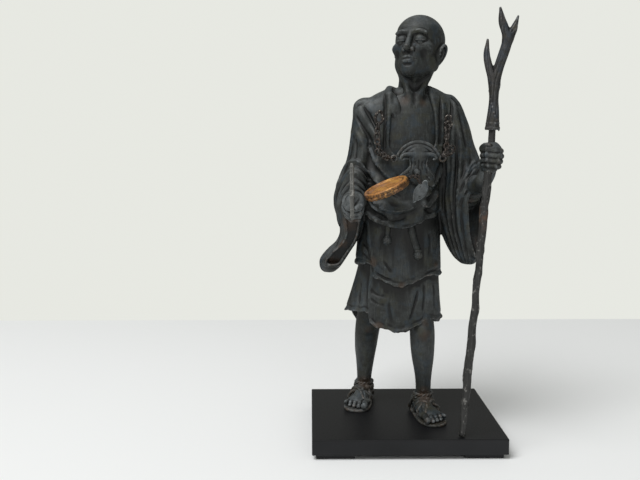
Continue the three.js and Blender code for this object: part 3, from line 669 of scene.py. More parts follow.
def torso(points):
    """The bare chest under the robe, as a field."""
    _, out = body_space(points)
    return 0.92 * (out - 0.4 + 1.3 * ease((points[:, 2] - 168) / 6))


def neck_opening():
    """Where the robe is open over the chest and round the neck, down to just under the skin."""
    def field(points):
        x, y, z = points.T
        foot = 141 + 9 * (np.abs(x - 2.9) / 13.2) ** 4
        slot = smooth_high(np.abs(x - 2.9) - 13.2, 0.8 * (foot - z), 3.0)
        slot = np.maximum(slot, y - 3)
        collar = np.maximum(np.hypot(x - 4.6, y - 6.6) - 11.2, 166 - z)
        return np.maximum(smooth_low(slot, collar, 2.0), -(torso(points) + 0.3))
    return Shape(field, (-13, -20, 137), (19, 20, 185))


def skirt_hollow():
    def field(points):
        _, out = body_space(points)
        return smooth_high(0.92 * (out + 2.2), points[:, 2] - 62, 3.0)
    return Shape(field, (-30, -14, 40), (26, 28, 62))


RIGHT_CUFF = [
    (-26.8, 6, 122, 8.6), (-26.9, 2.6, 121.6, 10), (-27, 0.6, 121.2, 8.6), (-27.1, -1.4, 120.8, 9.2),
    (-27.3, -3.2, 120.4, 7.7), (-27.4, -4.8, 120, 8.2), (-27.6, -6.4, 119.6, 6.7), (-27.8, -8, 119.2, 7.1),
    (-27.9, -9.4, 118.8, 5.7), (-28, -10.8, 118.4, 6), (-28.1, -12, 118, 4.6),
]
LEFT_CUFF = [
    (30.6, 2, 120.4, 8), (31.6, -1, 121.8, 9.6), (32.2, -2.6, 122.6, 8.3), (32.8, -4.2, 123.4, 8.8),
    (33.4, -5.8, 124.2, 7.5), (33.9, -7.4, 125, 8), (34.5, -9, 125.8, 6.7), (35, -10.4, 126.4, 7),
    (35.4, -11.8, 127, 5.6), (35.8, -13, 127.6, 5.6), (36, -14, 128, 4.4),
]
SASHES = ((-9.4, 7.4, -0.6, 1.35, 2.3), (2.4, 15, 4, 1.75, 2.4))
SASH_TOP = 106.5

SKIRT_RIDGES = [
    (1.2, 0.8, [(5.6, 74), (3.8, 66), (1.8, 58), (-0.8, 51)]),
    (0.77, -0.8, [(7.4, 73), (5.6, 65), (3.2, 58), (1.0, 53)]),
    (0.9, -0.4, [(-19.4, 72), (-16.4, 69), (-12.8, 67.8), (-9, 68.4)]),
    (1.0, 0.35, [(-19.4, 69.8), (-16, 66.8), (-12, 65.6), (-8.6, 65.8)]),
    (0.85, -0.35, [(-19.4, 67.4), (-16.4, 64.6), (-13, 63.2), (-10, 62.6)]),
    (1.0, 0.3, [(-19.4, 65), (-16.6, 62), (-14, 60)]), (1.1, 0.7, [(-12, 60), (-11.4, 56), (-9.4, 51)]),
    (1, -0.6, [(-8.6, 66), (-8.4, 60), (-6.4, 50)]), (1.1, 0.8, [(12.6, 77), (13.6, 69), (12.8, 57)]),
    (0.77, -0.7, [(9.8, 76), (10.6, 67), (9.2, 57)]), (0.77, 0.8, [(17.4, 77), (18.8, 68), (19.2, 56)]),
    (0.68, -0.6, [(15.4, 76), (16.4, 67), (16.4, 57)]), (0.85, 0.8, [(-25.6, 77), (-26.8, 67), (-28, 59)]),
    (0.68, -0.6, [(-22.8, 77), (-23.4, 68), (-24.4, 59)]), (0.68, 0.5, [(-21, 72), (-21.2, 66), (-22, 60)]),
]
JACKET_RIDGES = [
    (1.1, 0.82, [(-17.6, 84), (-12, 80), (-6, 77.4)]), (0.8, -0.65, [(-17, 81.6), (-12, 78), (-7, 75.8)]),
    (0.9, 0.65, [(-15.4, 90), (-11.4, 84), (-8.6, 79.4)]),
    (0.7, -0.56, [(-13.6, 89), (-10, 84), (-7.4, 80.4)]), (1.1, 0.73, [(20, 84.6), (12, 82), (5, 77.6)]),
    (0.8, -0.56, [(19, 82), (12, 79.8), (6, 76)]), (1.2, 0.56, [(15.6, 104), (16.6, 96), (15.4, 86)]),
    (1, -0.56, [(12.6, 103), (13.4, 95), (12.4, 87)]), (1, 0.65, [(-14.4, 104), (-16.4, 97), (-16.6, 90)]),
    (0.8, -0.49, [(-12, 103), (-13.4, 97), (-13.8, 91)]),
    (0.7, -0.49, [(-22.6, 96), (-21, 93.4), (-19.4, 92.6)]),
    (0.8, 0.65, [(-22.6, 93.6), (-21, 91), (-19.6, 90)]),
    (0.7, -0.49, [(-22.4, 91), (-21, 88.8), (-19.6, 88)]),
]
VEST_LAPS = [
    (5.8, 2.1, [(-20.4, 124), (-15.6, 116.6), (-8, 112.8), (0.6, 113.6), (6.6, 117)]),
    (4.8, 1.9, [(-20.8, 119.4), (-15, 112.6), (-8.4, 109.6), (-1.4, 110)]),
    (5.3, 1.7, [(6.4, 116), (11, 115.2), (15, 118.4), (17.4, 124)]),
    (6.9, 2.3, [(-19, 152), (-17.6, 143), (-13, 133.6), (-6.4, 126), (0.4, 122)]),
    (5.8, 2, [(-21.2, 144), (-19.6, 135), (-14.8, 127), (-8, 121.4)]),
    (6.9, 2.1, [(2, 121.4), (8.6, 125.4), (14, 132), (17.8, 141), (19.4, 151)]),
    (5.8, 1.8, [(6, 118.6), (12, 122.6), (17, 130), (20, 139)]),
]
VEST_RIDGES = [
    (1.8, -3.0, [(-20.8, 117.6), (-17.8, 113), (-12, 110.4), (-5, 109.8), (0.6, 112)]),
    (1.7, 1.3, [(-19.8, 112), (-14, 107.8), (-7, 106.4), (0.4, 107.6)]),
    (1.0, -1.1, [(8.2, 116.4), (12, 113.2), (16.8, 114)]),
    (1.3, 0.6, [(7.6, 113), (12, 110.6), (16.4, 112)]),
    (1.3, 1.3, [(-17.4, 131), (-12, 123), (-4.4, 117.6), (3, 117.4)]),
    (0.95, -0.98, [(-15.4, 132.4), (-9.6, 124.6), (-2, 120)]),
    (1.2, 1.1, [(4, 121), (10, 124.4), (15, 131)]), (0.85, -0.81, [(3, 124), (9, 128), (13.4, 134)]),
    (1.1, 0.98, [(-12, 111.4), (-5, 107.8), (3, 108.2), (9.6, 111.6)]),
    (0.76, -0.65, [(-10, 109.4), (-3.6, 106.2), (4, 106.4), (10, 109.2)]),
    (1.4, 1.4, [(-22.6, 169), (-20.4, 160), (-15.6, 150), (-13.2, 142)]),
    (0.85, -1.4, [(-20.4, 170.4), (-18, 161.4), (-13.4, 152)]),
    (0.85, -1.3, [(-24, 166), (-22.4, 157), (-18.6, 147.4), (-15.8, 139)]),
    (1.3, 1.1, [(20.4, 174), (20, 164), (19.6, 154), (18.8, 144)]),
    (0.76, -1.1, [(18.4, 174), (18, 164), (17.6, 154), (17, 146)]),
    (0.76, -0.98, [(22.6, 172), (22.4, 163), (21.8, 153), (20.8, 144)]),
]
STRAP_RIDGES = [
    (1.3, 1.4, [(-31.4, 164), (-29.8, 169), (-26, 172.4), (-20, 173.8)]),
    (0.8, -1.1, [(-29, 162), (-27.4, 167), (-24.4, 169.8), (-19, 171)]),
    (1.3, 1.5, [(-26.8, 171), (-22.8, 164), (-18.6, 157), (-15.4, 150.6), (-12.8, 143)]),
    (0.75, -1.4, [(-24.2, 172.4), (-20.4, 165.6), (-16.4, 158.6), (-13.4, 151)]),
    (0.75, -1.3, [(-27.4, 166.6), (-24, 160), (-20.6, 154), (-17, 147), (-14.6, 140)]),
    (1.3, 1.0, [(-28.4, 160), (-25.6, 153.6), (-22, 147.6), (-18.6, 141)]),
    (0.7, -1.1, [(24.8, 174), (24.6, 164), (23.6, 154), (21.4, 144)]),
    (1.2, 1.1, [(26.8, 174), (26.6, 164), (25.6, 154), (23.4, 143)]),
    (1.6, 1.5, [(25, 176), (28, 174.4), (31.4, 170.6)]),
    (0.8, -1.1, [(24.4, 173.8), (27, 171.6), (29.6, 167.6)]),
]
SLEEVE_RIDGES = [
    (1.0, 0.8, [(-28, 157), (-28.4, 149), (-29.8, 141)]),
    (0.8, -0.9, [(-25.8, 153), (-26, 146), (-27, 139)]),
    (1.1, 0.8, [(-22.4, 148), (-22.8, 143), (-23.4, 138)]),
    (0.99, 1, [(-36.6, 118), (-36, 108), (-35.6, 99), (-41, 89)]),
    (0.72, -0.72, [(-34.4, 113), (-34.2, 103), (-36, 95), (-42.6, 86)]),
    (1.4, 1.4, [(26, 168), (28.6, 156), (29.8, 145), (30.4, 137)]),
    (0.99, -1, [(28.4, 165), (31, 154), (32.6, 144)]),
    (1.2, 1.2, [(23.6, 158), (24.8, 148), (25, 137), (23.6, 124), (22.8, 112)]),
    (0.9, -1.2, [(26.2, 148), (27, 137), (26, 124), (25.8, 110), (27.4, 97)]),
    (1.3, 1.1, [(28.8, 146), (28.2, 134), (27.6, 120), (28, 106), (30, 95)]),
    (0.81, -1, [(21.8, 141), (21.4, 130), (20.6, 119), (21.4, 108)]),
    (1.1, 1.2, [(19.8, 136), (19.2, 125), (19.2, 114), (21, 104)]),
    (0.65, -0.9, [(30.6, 132), (31, 120), (31.4, 108), (32, 98)]),
    (0.6, -0.8, [(33.6, 126), (34.2, 116), (34, 104)]), (0.6, -0.8, [(36.6, 122), (37, 112), (36.4, 101)]),
    (0.6, -0.8, [(24.4, 118), (24.2, 108), (25.6, 98)]),
]
BACK_RIDGES = [
    (1.5, 1.2, [(-16, 170), (-14, 158), (-10, 144), (-6, 130)]),
    (1, -0.91, [(-13, 171), (-11, 159), (-7, 145), (-3, 132)]),
    (1.5, 1.2, [(18, 171), (16.6, 158), (13, 144), (9, 130)]),
    (1, -0.91, [(15, 172), (13.4, 159), (10, 145), (6, 131)]),
    (1.2, 0.91, [(3, 166), (3.4, 152), (1.6, 138), (2.4, 126)]),
    (1.2, 0.78, [(-19, 150), (-18, 138), (-16, 126)]), (1.2, 0.78, [(20.6, 150), (19.6, 138), (17.6, 126)]),
    (1.2, 0.78, [(-14, 112), (-14.6, 100), (-13.6, 86)]), (1, -0.65, [(-8, 112), (-8.6, 99), (-8, 86)]),
    (1.3, 0.78, [(-2, 113), (-2.4, 99), (-3.4, 85)]), (1, -0.65, [(4, 112), (4.8, 98), (4.4, 86)]),
    (1.2, 0.78, [(10, 113), (11, 99), (11.6, 86)]), (1.1, 0.78, [(-16, 74), (-17, 64), (-18, 52)]),
    (1.2, -0.65, [(-4, 74), (-4.6, 62), (-5, 50)]), (1.3, 0.78, [(2, 74), (2.6, 62), (4, 50)]),
    (1.1, 0.65, [(13, 74), (14, 63), (16, 52)]),
]
SIDE_RIDGES = {
    "left": [(1.4, 0.8, [(8, 166), (9, 154), (10, 142), (12, 128), (10, 110)]),
             (1.0, -0.6, [(4, 164), (4.6, 152), (5, 140), (6, 126), (5, 108)]),
             (1.3, 0.7, [(13, 150), (14.4, 136), (15, 120), (12.6, 104)]),
             (0.9, -0.5, [(1, 150), (0.4, 138), (-1, 126)]),
             (1.2, 0.6, [(18, 112), (19, 98), (18.6, 86)]), (1.2, 0.6, [(12, 76), (11, 66), (12, 58)])],
    "right": [(1.5, 0.9, [(6, 168), (7, 154), (8, 140), (7, 124), (2, 106)]),
              (1.0, -0.6, [(10, 164), (11.4, 150), (12, 136), (10, 120), (5, 104)]),
              (1.3, 0.8, [(0, 152), (0.4, 138), (0.6, 124), (-2, 108), (-5, 96)]),
              (1.0, -0.6, [(-4, 140), (-4.6, 126), (-6, 112), (-8, 100)]),
              (1.2, 0.6, [(18, 112), (18, 98), (17, 82)]), (1.2, 0.6, [(10, 74), (11, 64), (11, 54)])],
}


def sash(clay, x, drop, lean, radius, knot):
    """A sash end that hangs from the waist, gathered lengthwise, and finishes in a wound ball."""
    low_z = SASH_TOP - drop
    stations = []
    for share in (0, 0.3, 0.65, 1):
        z = mix(SASH_TOP, low_z, share)
        at = x + lean * share ** 1.3
        stations.append((at, front_of(at, z, CLOTH_STEP + 1.0) - 0.3, z, radius * (1.05 - 0.1 * share)))
    clay.limb(0.5, stations, 14)
    line = spline(stations, 14)
    for side in (-0.75, 0.1, 0.85):
        path = line[:, :3] + line[:, 3:] * np.array([math.sin(side), -math.cos(side), 0])
        clay.line(0.36, -0.3, path, 0)
    ball_x, ball_y, ball_z = stations[-1][:3]
    place = np.array([ball_x, ball_y - 0.6, ball_z - 1.4])
    clay.ball(0.4, place, (knot, knot, knot * 1.05))
    clay.ball(0.3, place + [0, 0, knot * 0.95], (radius * 1.1, radius * 1.1, 0.6))
    for turn in range(5):
        angle = math.radians(-150 + 30 * turn)
        path = place + np.array([(knot * math.cos(angle) * math.sin(t),
                                  knot * math.sin(angle) * math.sin(t), knot * math.cos(t))
                                 for t in np.linspace(0.5, 2.6, 9)])
        clay.line(0.34, -0.28, path, 0)


COLLAR_MIDDLE = 2.9


def band(clay, nape, front, soft):
    """A band from the nape down the front, where each place is x, z, how proud it stands, its radius."""
    stations = nape + [(x, front_of(x, z, CLOTH_STEP) + radius - proud, z, radius)
                       for x, z, proud, radius in front]
    clay.limb(soft, stations, 6 * len(stations))


def collar(clay):
    """A flat band that hugs the neck on the right, and the rolled double edge on the left."""
    nape = [(0.5, 16.4, 175.8, 1.7), (-5.3, 12.8, 178, 1.9), (-8.1, 5, 177.8, 1.9), (-8.4, -1.6, 174, 1.9)]
    band(clay, nape, [(-7.6, 169, 0.8, 1.9), (-6.6, 165.6, 0.0, 1.8), (-5.8, 162.6, -1.3, 1.6)], 1.2)
    band(clay, [(-6.4, -0.6, 173.6, 1.7)], [(-5.2, 169.6, 0.6, 1.9), (-4.0, 166.4, -0.3, 1.7),
                                            (-3.4, 164, -1.3, 1.4)], 1.0)
    band(clay, nape[3:], [(-8.8, 167, 0.9, 1.4), (-9.4, 158, 0.6, 1.0), (-9.8, 149, 0.1, 0.8),
                          (-10, 142, -0.8, 0.7)], 1.0)
    across = [(2 * COLLAR_MIDDLE - x, y, z, r) for x, y, z, r in nape]
    band(clay, across, [(15.6, 166, 0.9, 1.2), (16.3, 155, 0.7, 1.0), (16.4, 146, 0.2, 0.8),
                        (16, 138, -0.8, 0.7)], 0.9)
    draw_ridges(clay, "front", [
        (0.6, -1.3, [(-10.9, 177), (-11.2, 170), (-11.2, 160), (-11.4, 150), (-11.6, 143)]),
        (0.5, -1.0, [(18.4, 177), (18.7, 168), (18.9, 156), (18.6, 145)]),
                                (0.45, -0.6, [(21, 176), (21.2, 166), (21.1, 156), (20.4, 147)]),
    ])


def shape_robe(clay):
    clay.add(garment(skirt_hem, jacket_hem, lambda share, angle: 0 * share, skirt_folds(), 44, 96, 0.9,
                     covered=True))
    clay.add(front_flap([(-24, 54), (-18.5, 53), (-14, 50.6), (-6, 48.6), (0, 49), (6, 51.4), (12, 54),
                         (22, 54)],
                        [(46, -17.6), (56, -19), (66, -19.6), (80, -18.4)], 1.3, 46, 84, 0.7,
                        [(262, 258, 30, 1.4, 0.3), (240, 236, 5, 0.8, 0.2), (285, 280, 6, 0.9, 0.2)]))
    draw_ridges(clay, "front", SKIRT_RIDGES)
    clay.cut(skirt_hollow(), 0.6)
    clay.add(garment(jacket_hem, vest_hem, lambda share, angle: CLOTH_STEP + 0 * share, jacket_folds(), 72,
                     128, covered=True))
    clay.add(front_flap([(-22, 80), (-17.3, 78.3), (-9.2, 74.4), (-2.2, 72.8), (2.7, 74), (8.5, 77.6),
                         (14, 78.4), (24, 78.4)],
                        [(76, -17.6), (82, -16.6), (90, -18.6), (98, -20), (112, -20.4)], CLOTH_STEP + 1.1,
                        70, 116), 0.3)
    draw_ridges(clay, "front", JACKET_RIDGES)
    clay.add(garment(vest_hem, lambda angle: BODY_TOP, vest_outset, vest_folds(), 100, 181, 0.6, 0.3,
                     ripple=0.25))
    for x, drop, lean, radius, knot in SASHES:
        sash(clay, x, drop, lean, radius, knot)
    draw_laps(clay, "front", VEST_LAPS, 1.0)
    draw_ridges(clay, "front", VEST_RIDGES)

    right = sleeve(RIGHT_SLEEVE, 78.6, 173.6, [-47, -13, 78], [-10, 20, 174], [
        (i * 30 + 75, i * 32 + 84, 9, 0.9, 0.7) for i in range(5)])
    left = sleeve(LEFT_SLEEVE, 84.6, 175.4, [12, -18, 84], [47, 18, 176], [
        (208 + i * 21, 224 + i * 18, 6, 0.8, 0.7) for i in range(7)])
    clay.add(right, 1.4)
    clay.add(left, 1.4)
    draw_ridges(clay, "front", STRAP_RIDGES + SLEEVE_RIDGES)
    draw_ridges(clay, "back", BACK_RIDGES)
    for view, lines in SIDE_RIDGES.items():
        draw_ridges(clay, view, lines)
    right_mouth = sleeve_slot(RIGHT_SLEEVE, 83.4, 126, 1.0, 3.8, (-27, 0.16), [-47, -26, 80], [-18, 4, 131])
    left_mouth = sleeve_mouth(LEFT_SLEEVE, 88, 131, [8.4, -9.6], (41, 0.085), [20, -26, 86], [52, 10, 133])
    clay.swell(mouth_rolls(right, right_mouth, (2.6, 5.0, 7.6, 10.4), 0.95, 100, 139, 9), 1.0)
    clay.swell(mouth_rolls(left, left_mouth, (2.0, 4.1, 6.2, 8.3), 0.8, 94, 136, 8, 24), 0.8)
    clay.cut(right_mouth, 0.4)
    clay.cut(left_mouth, 0.4)
    clay.add(mouth_rim(right, right_mouth, 0.95), 0.3)
    clay.add(mouth_rim(left, left_mouth, 1.05), 0.3)
    clay.add(rolls(RIGHT_CUFF), 0.5)
    clay.add(rolls(LEFT_CUFF), 0.5)
    clay.cut(neck_opening(), 0.5)
    collar(clay)


# Meshes

def in_scene(name, data):
    """A new object for a mesh, curve, light or camera."""
    made = bpy.data.objects.new(name, data)
    bpy.context.scene.collection.objects.link(made)
    return made


def meshed(name, vertices, faces):
    """A mesh in metres in the part's frame, from places in millimetres above the plinth."""
    mesh = bpy.data.meshes.new(name)
    mesh.from_pydata(((vertices + [0, 0, PLINTH_TOP]) * MM).tolist(), [], faces)
    return mesh


def finished(name, mesh, smooth=True):
    """An object for a mesh, with its faces turned outwards."""
    form = bmesh.new()
    form.from_mesh(mesh)
    bmesh.ops.recalc_face_normals(form, faces=form.faces)
    form.to_mesh(mesh)
    form.free()
    mesh.polygons.foreach_set("use_smooth", np.full(len(mesh.polygons), smooth))
    return in_scene(name, mesh)


def ringed(name, rings, ends):
    """A closed skin over rings of places, with a point at each end."""
    rows, sides = rings.shape[:2]
    i, j = np.meshgrid(np.arange(rows - 1), np.arange(sides), indexing="ij")
    low, low_next = i * sides + j, i * sides + (j + 1) % sides
    quads = np.stack([low, low_next, low_next + sides, low + sides], -1).reshape(-1, 4).tolist()
    top = (rows - 1) * sides
    caps = [[rows * sides, (k + 1) % sides, k] for k in range(sides)]
    caps += [[rows * sides + 1, top + k, top + (k + 1) % sides] for k in range(sides)]
    return meshed(name, np.vstack([rings.reshape(-1, 3), *ends]), quads + caps)


def marked(mesh, name, values):
    mark = mesh.attributes.new(name, "FLOAT", "POINT")
    mark.data.foreach_set("value", values.astype(np.float32))


def thinned(piece, triangles):
    """Leaves at most about that many triangles, fewest where the surface is flat."""
    mesh = piece.data
    mesh.calc_loop_triangles()
    count = len(mesh.loop_triangles)
    if count > triangles:
        modifier = piece.modifiers.new("thin", "DECIMATE")
        modifier.ratio = triangles / count
        graph = bpy.context.evaluated_depsgraph_get()
        piece.data = bpy.data.meshes.new_from_object(piece.evaluated_get(graph))
        piece.modifiers.remove(modifier)
        piece.data.name = piece.name
        bpy.data.meshes.remove(mesh)
    return piece


# Head, neck and bare chest. In the head's own frame it faces -Y, with its middle at the origin.

HEAD_POSE = framed(turned((-14, 0, -27)), (7, 4, 199.5))
EAR_LEAN = 5
SIDES = (-1, 1)
HEAD_SIDES = [HEAD_POSE @ np.diag([side, 1, 1, 1]) for side in SIDES]


def half_space(place, normal, box):
    place, normal = np.array(place, float), np.array(normal, float)
    normal /= np.linalg.norm(normal)
    return Shape(lambda points: (points - place) @ normal, box.low, box.high)


def kept(shape, *limits):
    """The part of a shape that lies inside every limit."""
    def field(points):
        value = shape.field(points)
        for limit in limits:
            value = smooth_high(value, limit.field(points), 0.25)
        return value
    return Shape(field, shape.low, shape.high)


def ear(clay):
    """The ear on the left of a head whose middle is the clay's own origin."""
    head_pose = clay.pose
    clay.pose = head_pose @ framed(turned((0, 9, -EAR_LEAN)), (11.5, 1.4, -2.4))
    clay.ball(1.2, (-0.4, 1.9, -0.7), (2.1, 3.9, 5.9))
    clay.ball(1.2, (-0.1, 1.0, -6.6), (1.2, 1.8, 3.2))
    clay.cut(ball((1.9, 1.0, -0.6), (1.0, 1.1, 2.1)), 0.6)
    clay.limb(0.35, [(0.7, -0.7, -1.4, 0.6), (1.3, -1.1, 1.4, 0.75), (1.6, 0.3, 3.9, 0.8),
                     (1.8, 2.5, 4.5, 0.8),
                     (1.9, 4.1, 3.0, 0.8), (1.7, 4.3, 0.0, 0.75), (1.3, 3.4, -3.0, 0.7),
                     (0.7, 2.3, -5.2, 0.8)])
    clay.limb(0.5, [(1.2, 2.1, 2.6, 0.45), (1.5, 2.6, 0.9, 0.5), (1.3, 2.4, -1.6, 0.5),
                    (0.9, 1.4, -3.4, 0.5)])
    clay.ball(0.4, (1.1, -0.6, -1.2), (0.8, 0.7, 1.1))
    clay.pose = head_pose


def shape_head(clay):
    clay.pose = HEAD_POSE
    clay.ball(0, (0, 2.4, 5.2), (13.3, 15, 13.2))
    clay.ball(3, (0, -3, -4.6), (10.4, 10.8, 13.2))
    clay.ball(3.5, (0, -9.6, -14.6), (4.0, 3.8, 3.8))
    for clay.pose in HEAD_SIDES:
        clay.ball(3, (7.4, -8.2, -3.2), (3.6, 3.2, 2.6))
        clay.ball(2.5, (4.4, -12, 4.3), (4.4, 1.7, 1.3), (0, 6, 0))
        clay.ball(3, (8, -0.5, -10), (3.0, 5, 3.8))
    clay.pose = HEAD_POSE
    clay.ball(3, (0, -9.4, -9.8), (5.2, 3.9, 3.8))
    for clay.pose in HEAD_SIDES:
        clay.cut(ball((5.0, -15.0, 0.5), (3.3, 3.6, 2.4)), 2.0)
        clay.cut(ball((8.6, -12.4, -8.0), (2.4, 3.4, 3.4)), 3.0)
        clay.cut(ball((12.8, -7.2, 5.0), (1.9, 4.0, 4.0)), 3.0)
    for clay.pose in HEAD_SIDES:
        eye = ball((4.9, -10.6, 0.2), (2.75, 2.75, 2.6))
        clay.add(eye, 0.3)
        lid = ball((4.9, -10.6, 0.3), (3.15, 3.1, 2.95))
        clay.add(kept(lid, half_space((0, -13.4, -0.75), (0, 0.25, -1), lid)), 0.5)
        under = ball((4.9, -10.4, 0.0), (3.1, 3.0, 2.9))
        clay.add(kept(under, half_space((0, -13.3, -1.5), (0, 0.1, 1), under)), 0.5)
        clay.stroke(0.5, -0.3, [(2.2, -13.0, 1.6), (4.2, -13.9, 2.8), (6.6, -12.8, 2.5), (8.2, -10.8, 1.0)])
        clay.stroke(0.6, -0.28, [(2.6, -12.9, -2.9), (4.9, -13.2, -3.7), (7.4, -11.6, -3.0)])
        clay.stroke(0.75, 0.42, [(1.4, -14.6, 3.6), (4, -14.2, 5.0), (6.8, -12.6, 4.9), (9, -10.2, 3.4)])
    clay.pose = HEAD_POSE
    clay.limb(1.4, [(0, -12.6, 3.8, 1.2), (0, -13.6, 1.2, 1.25), (0, -15.2, -2.6, 1.45),
                    (0, -16.1, -5.0, 1.75)])
    for clay.pose in HEAD_SIDES:
        clay.ball(0.7, (2.1, -13.9, -5.7), (1.35, 1.8, 1.25))
        clay.cut(ball((1.15, -15.2, -6.9), (0.55, 0.95, 0.6)), 0.4)
        clay.stroke(0.35, -0.3, [(3.3, -13.6, -4.6), (3.7, -13.2, -5.6), (3.2, -13.2, -6.7)])
        clay.stroke(0.6, -0.3, [(3.9, -13.4, -6.0), (5.4, -12.6, -8.4), (6.0, -11.6, -11.0)])
        clay.stroke(0.35, 0.16, [(0.65, -14.2, -7.4), (0.7, -14.3, -9.0)])
    clay.pose = HEAD_POSE
    clay.limb(0.7, [(-4.2, -11.7, -10.4, 0.3), (-2.2, -13.4, -9.9, 0.75), (-0.8, -14.1, -9.6, 0.9),
                    (0, -14.1, -9.8, 0.85),
               (0.8, -14.1, -9.6, 0.9), (2.2, -13.4, -9.9, 0.75), (4.2, -11.7, -10.4, 0.3)])
    clay.limb(0.7, [(-3.8, -11.7, -10.9, 0.3), (-1.8, -13.4, -11.6, 0.9), (0, -13.8, -11.8, 1.05),
               (1.8, -13.4, -11.6, 0.9), (3.8, -11.7, -10.9, 0.3)])
    clay.cut(tube([(-4.6, -12.2, -10.4, 0.12), (-2.2, -14.4, -10.5, 0.24), (0, -15.0, -10.65, 0.26),
              (2.2, -14.4, -10.5, 0.24), (4.6, -12.2, -10.4, 0.12)]), 0.4)
    clay.stroke(0.8, -0.5, [(-2.8, -12.6, -13.3), (0, -13.2, -13.6), (2.8, -12.6, -13.3)])
    for height in (9.2, 11.4):
        clay.stroke(0.6, -0.16, [(-6.4, -9.5, height - 0.4), (0, -12.4, height + 0.3),
                                 (6.4, -9.5, height - 0.4)])
    for clay.pose in HEAD_SIDES:
        ear(clay)
    clay.pose = HEAD_POSE

    clay.pose = None
    clay.limb(4, [(4.2, 6.6, 164, 11.6), (4.6, 6.8, 171, 9.2), (5.2, 6.8, 180, 8.0), (6.4, 6.2, 192, 8.2)])
    chest = Shape(lambda p: np.maximum.reduce([torso(p), 136 - p[:, 2], p[:, 1] - 6, p[:, 2] - 174]),
                  (-16, -14, 134), (22, 8, 181))
    clay.add(chest, 5)
    for s in SIDES:
        clay.limb(3.2, [(4.6 + s * 1.6, -3.4, 170, 0.7), (4.6 + s * 3.2, -2.4, 175, 0.8),
                        (6 + s * 6.2, 0.9, 183, 1.1), (6.6 + s * 7.6, 4.2, 190, 1.2)])
        clay.stroke(1.5, 0.4, [(4 + s * 2.2, -8, 168), (4 + s * 6, -7.6, 168.4), (4 + s * 10, -6, 170)])
        for i in range(4):
            z = 162.6 - 4.6 * i
            clay.stroke(1.1, -0.35, [(3.4 + s * 2.6, -9.6, z), (3.4 + s * 7, -9.8, z - 0.4),
                                     (3.4 + s * 11.4, -8.6, z + 0.8)])
    clay.cut(ball((4.4, -7.2, 171.4), (1.5, 2.0, 1.8)), 2.4)
    clay.stroke(1.5, -0.45, [(4.0, -9.2, 166), (3.4, -10.4, 154), (3.0, -10.6, 142)])
    clay.stroke(1.4, 0.5, [(4.9, -3.4, 186), (4.6, -3.0, 180), (4.4, -4.0, 175)])


# Hands and forearms; the bunched cuffs are shaped with the robe

STAFF_FOOT = np.array([26.4, -39.2, 0.3])
STAFF_NECK = np.array([39.9, -32, 155])
SHAFT_END = 158.5
STAFF_RADIUS = 2.0
MALLET_FIST = np.array([-28.4, -27.6, 115.6])
MALLET_DIRECTION = np.array([-0.1, -0.72, 0.69])
MALLET_RADIUS = 0.95
MALLET_HEAD = np.array([-30, -36.5, 124.9])
MALLET_HEAD_HALF = 14.2
STAFF_FIST_HEIGHT = 141.5
FINGER_WIDTH = 3.1


def staff_point(z):
    return mix(STAFF_FOOT, STAFF_NECK, (z - STAFF_FOOT[2]) / (STAFF_NECK[2] - STAFF_FOOT[2]))


def fist(clay, place, rod, to_wrist, side, grip, size=1.0):
    """A hand closed round a rod. The rod points to the thumb's side, and the sign picks the hand."""
    z = np.array(rod, float) / np.linalg.norm(rod)
    x = np.array(to_wrist, float) - z * np.dot(to_wrist, z)
    x /= np.linalg.norm(x)
    clay.pose = framed(np.stack([x, side * np.cross(z, x), z], 1), place)
    clay.limb(0.3, [(0.8, 0, -4.6 * size, grip + 2.6 * size), (0.6, 0, 0, grip + 3.4 * size),
                    (0.4, 0, 3.8 * size, grip + 3.6 * size)])
    clay.ball(1.0, (0.2, -0.4, 4.6 * size), (grip + 4.3 * size, grip + 4.1 * size, 3.2 * size))
    clay.ball(1.5, (grip + 3.6 * size, 0.6, -0.2), (3.2 * size, 4.0 * size, 6.0 * size))
    clay.ball(1.2, (grip + 3.0 * size, -2.6 * size, 2.2), (3.2 * size, 2.5 * size, 3.8 * size))
    for i in range(4):
        c = (1.5 - i) * FINGER_WIDTH * size
        thick = (1.58, 1.74, 1.66, 1.42)[i] * size
        reach = grip + (2.2, 2.7, 2.4, 1.8)[i] * size
        first = (30, 22, 28, 40)[i]
        arc = [(mix(first, 308 - first * 0.3, t), reach + 1.7 * size * (1 - ease(t * 2.2)),
                thick * (1.06 - 0.22 * t)) for t in np.linspace(0, 1, 9)]
        line = [(r * math.cos(math.radians(a)), r * math.sin(math.radians(a)),
                 c - 0.9 * size * ease(a / 300) * (1.2 - 0.5 * i), w)
                for a, r, w in arc]
        clay.limb(0.4, line)
        for bearing in (first + 14, 128 + 6 * i, 214 - 4 * i):
            a, r = math.radians(bearing), reach + (1.4 if bearing < 90 else 0.3) * size + thick * 0.55
            clay.ball(1.2, (r * math.cos(a), r * math.sin(a), c), np.array((1.0, 1.0, 1.2)) * size)
        for bearing in (120, 138, 206, 222):
            a, r = math.radians(bearing), reach + thick + 0.2
            clay.line(0.28, -0.14,
                      [(r * math.cos(a), r * math.sin(a), c + w * size) for w in (-1.1, 0, 1.1)], 0)
    clay.limb(0.6, [(6.2 * size, -2.2, 2.6, 2.0 * size),
                    (3.0 * size, -grip - 2.6 * size, 4.8 * size, 1.95 * size),
                    (-1.0, -grip - 2.7 * size, 6.0 * size, 1.7 * size),
                    (-4.0 * size, -grip - 1.2, 6.8 * size, 1.5 * size),
                    (-5.2 * size, -grip + 0.2, 7.0 * size, 1.15 * size)])
    clay.ball(0.15, (-3.8 * size, -grip - 2.3 * size, 7.4 * size), np.array((1.3, 0.9, 0.8)) * size,
              (0, 0, 30))
    clay.pose = None


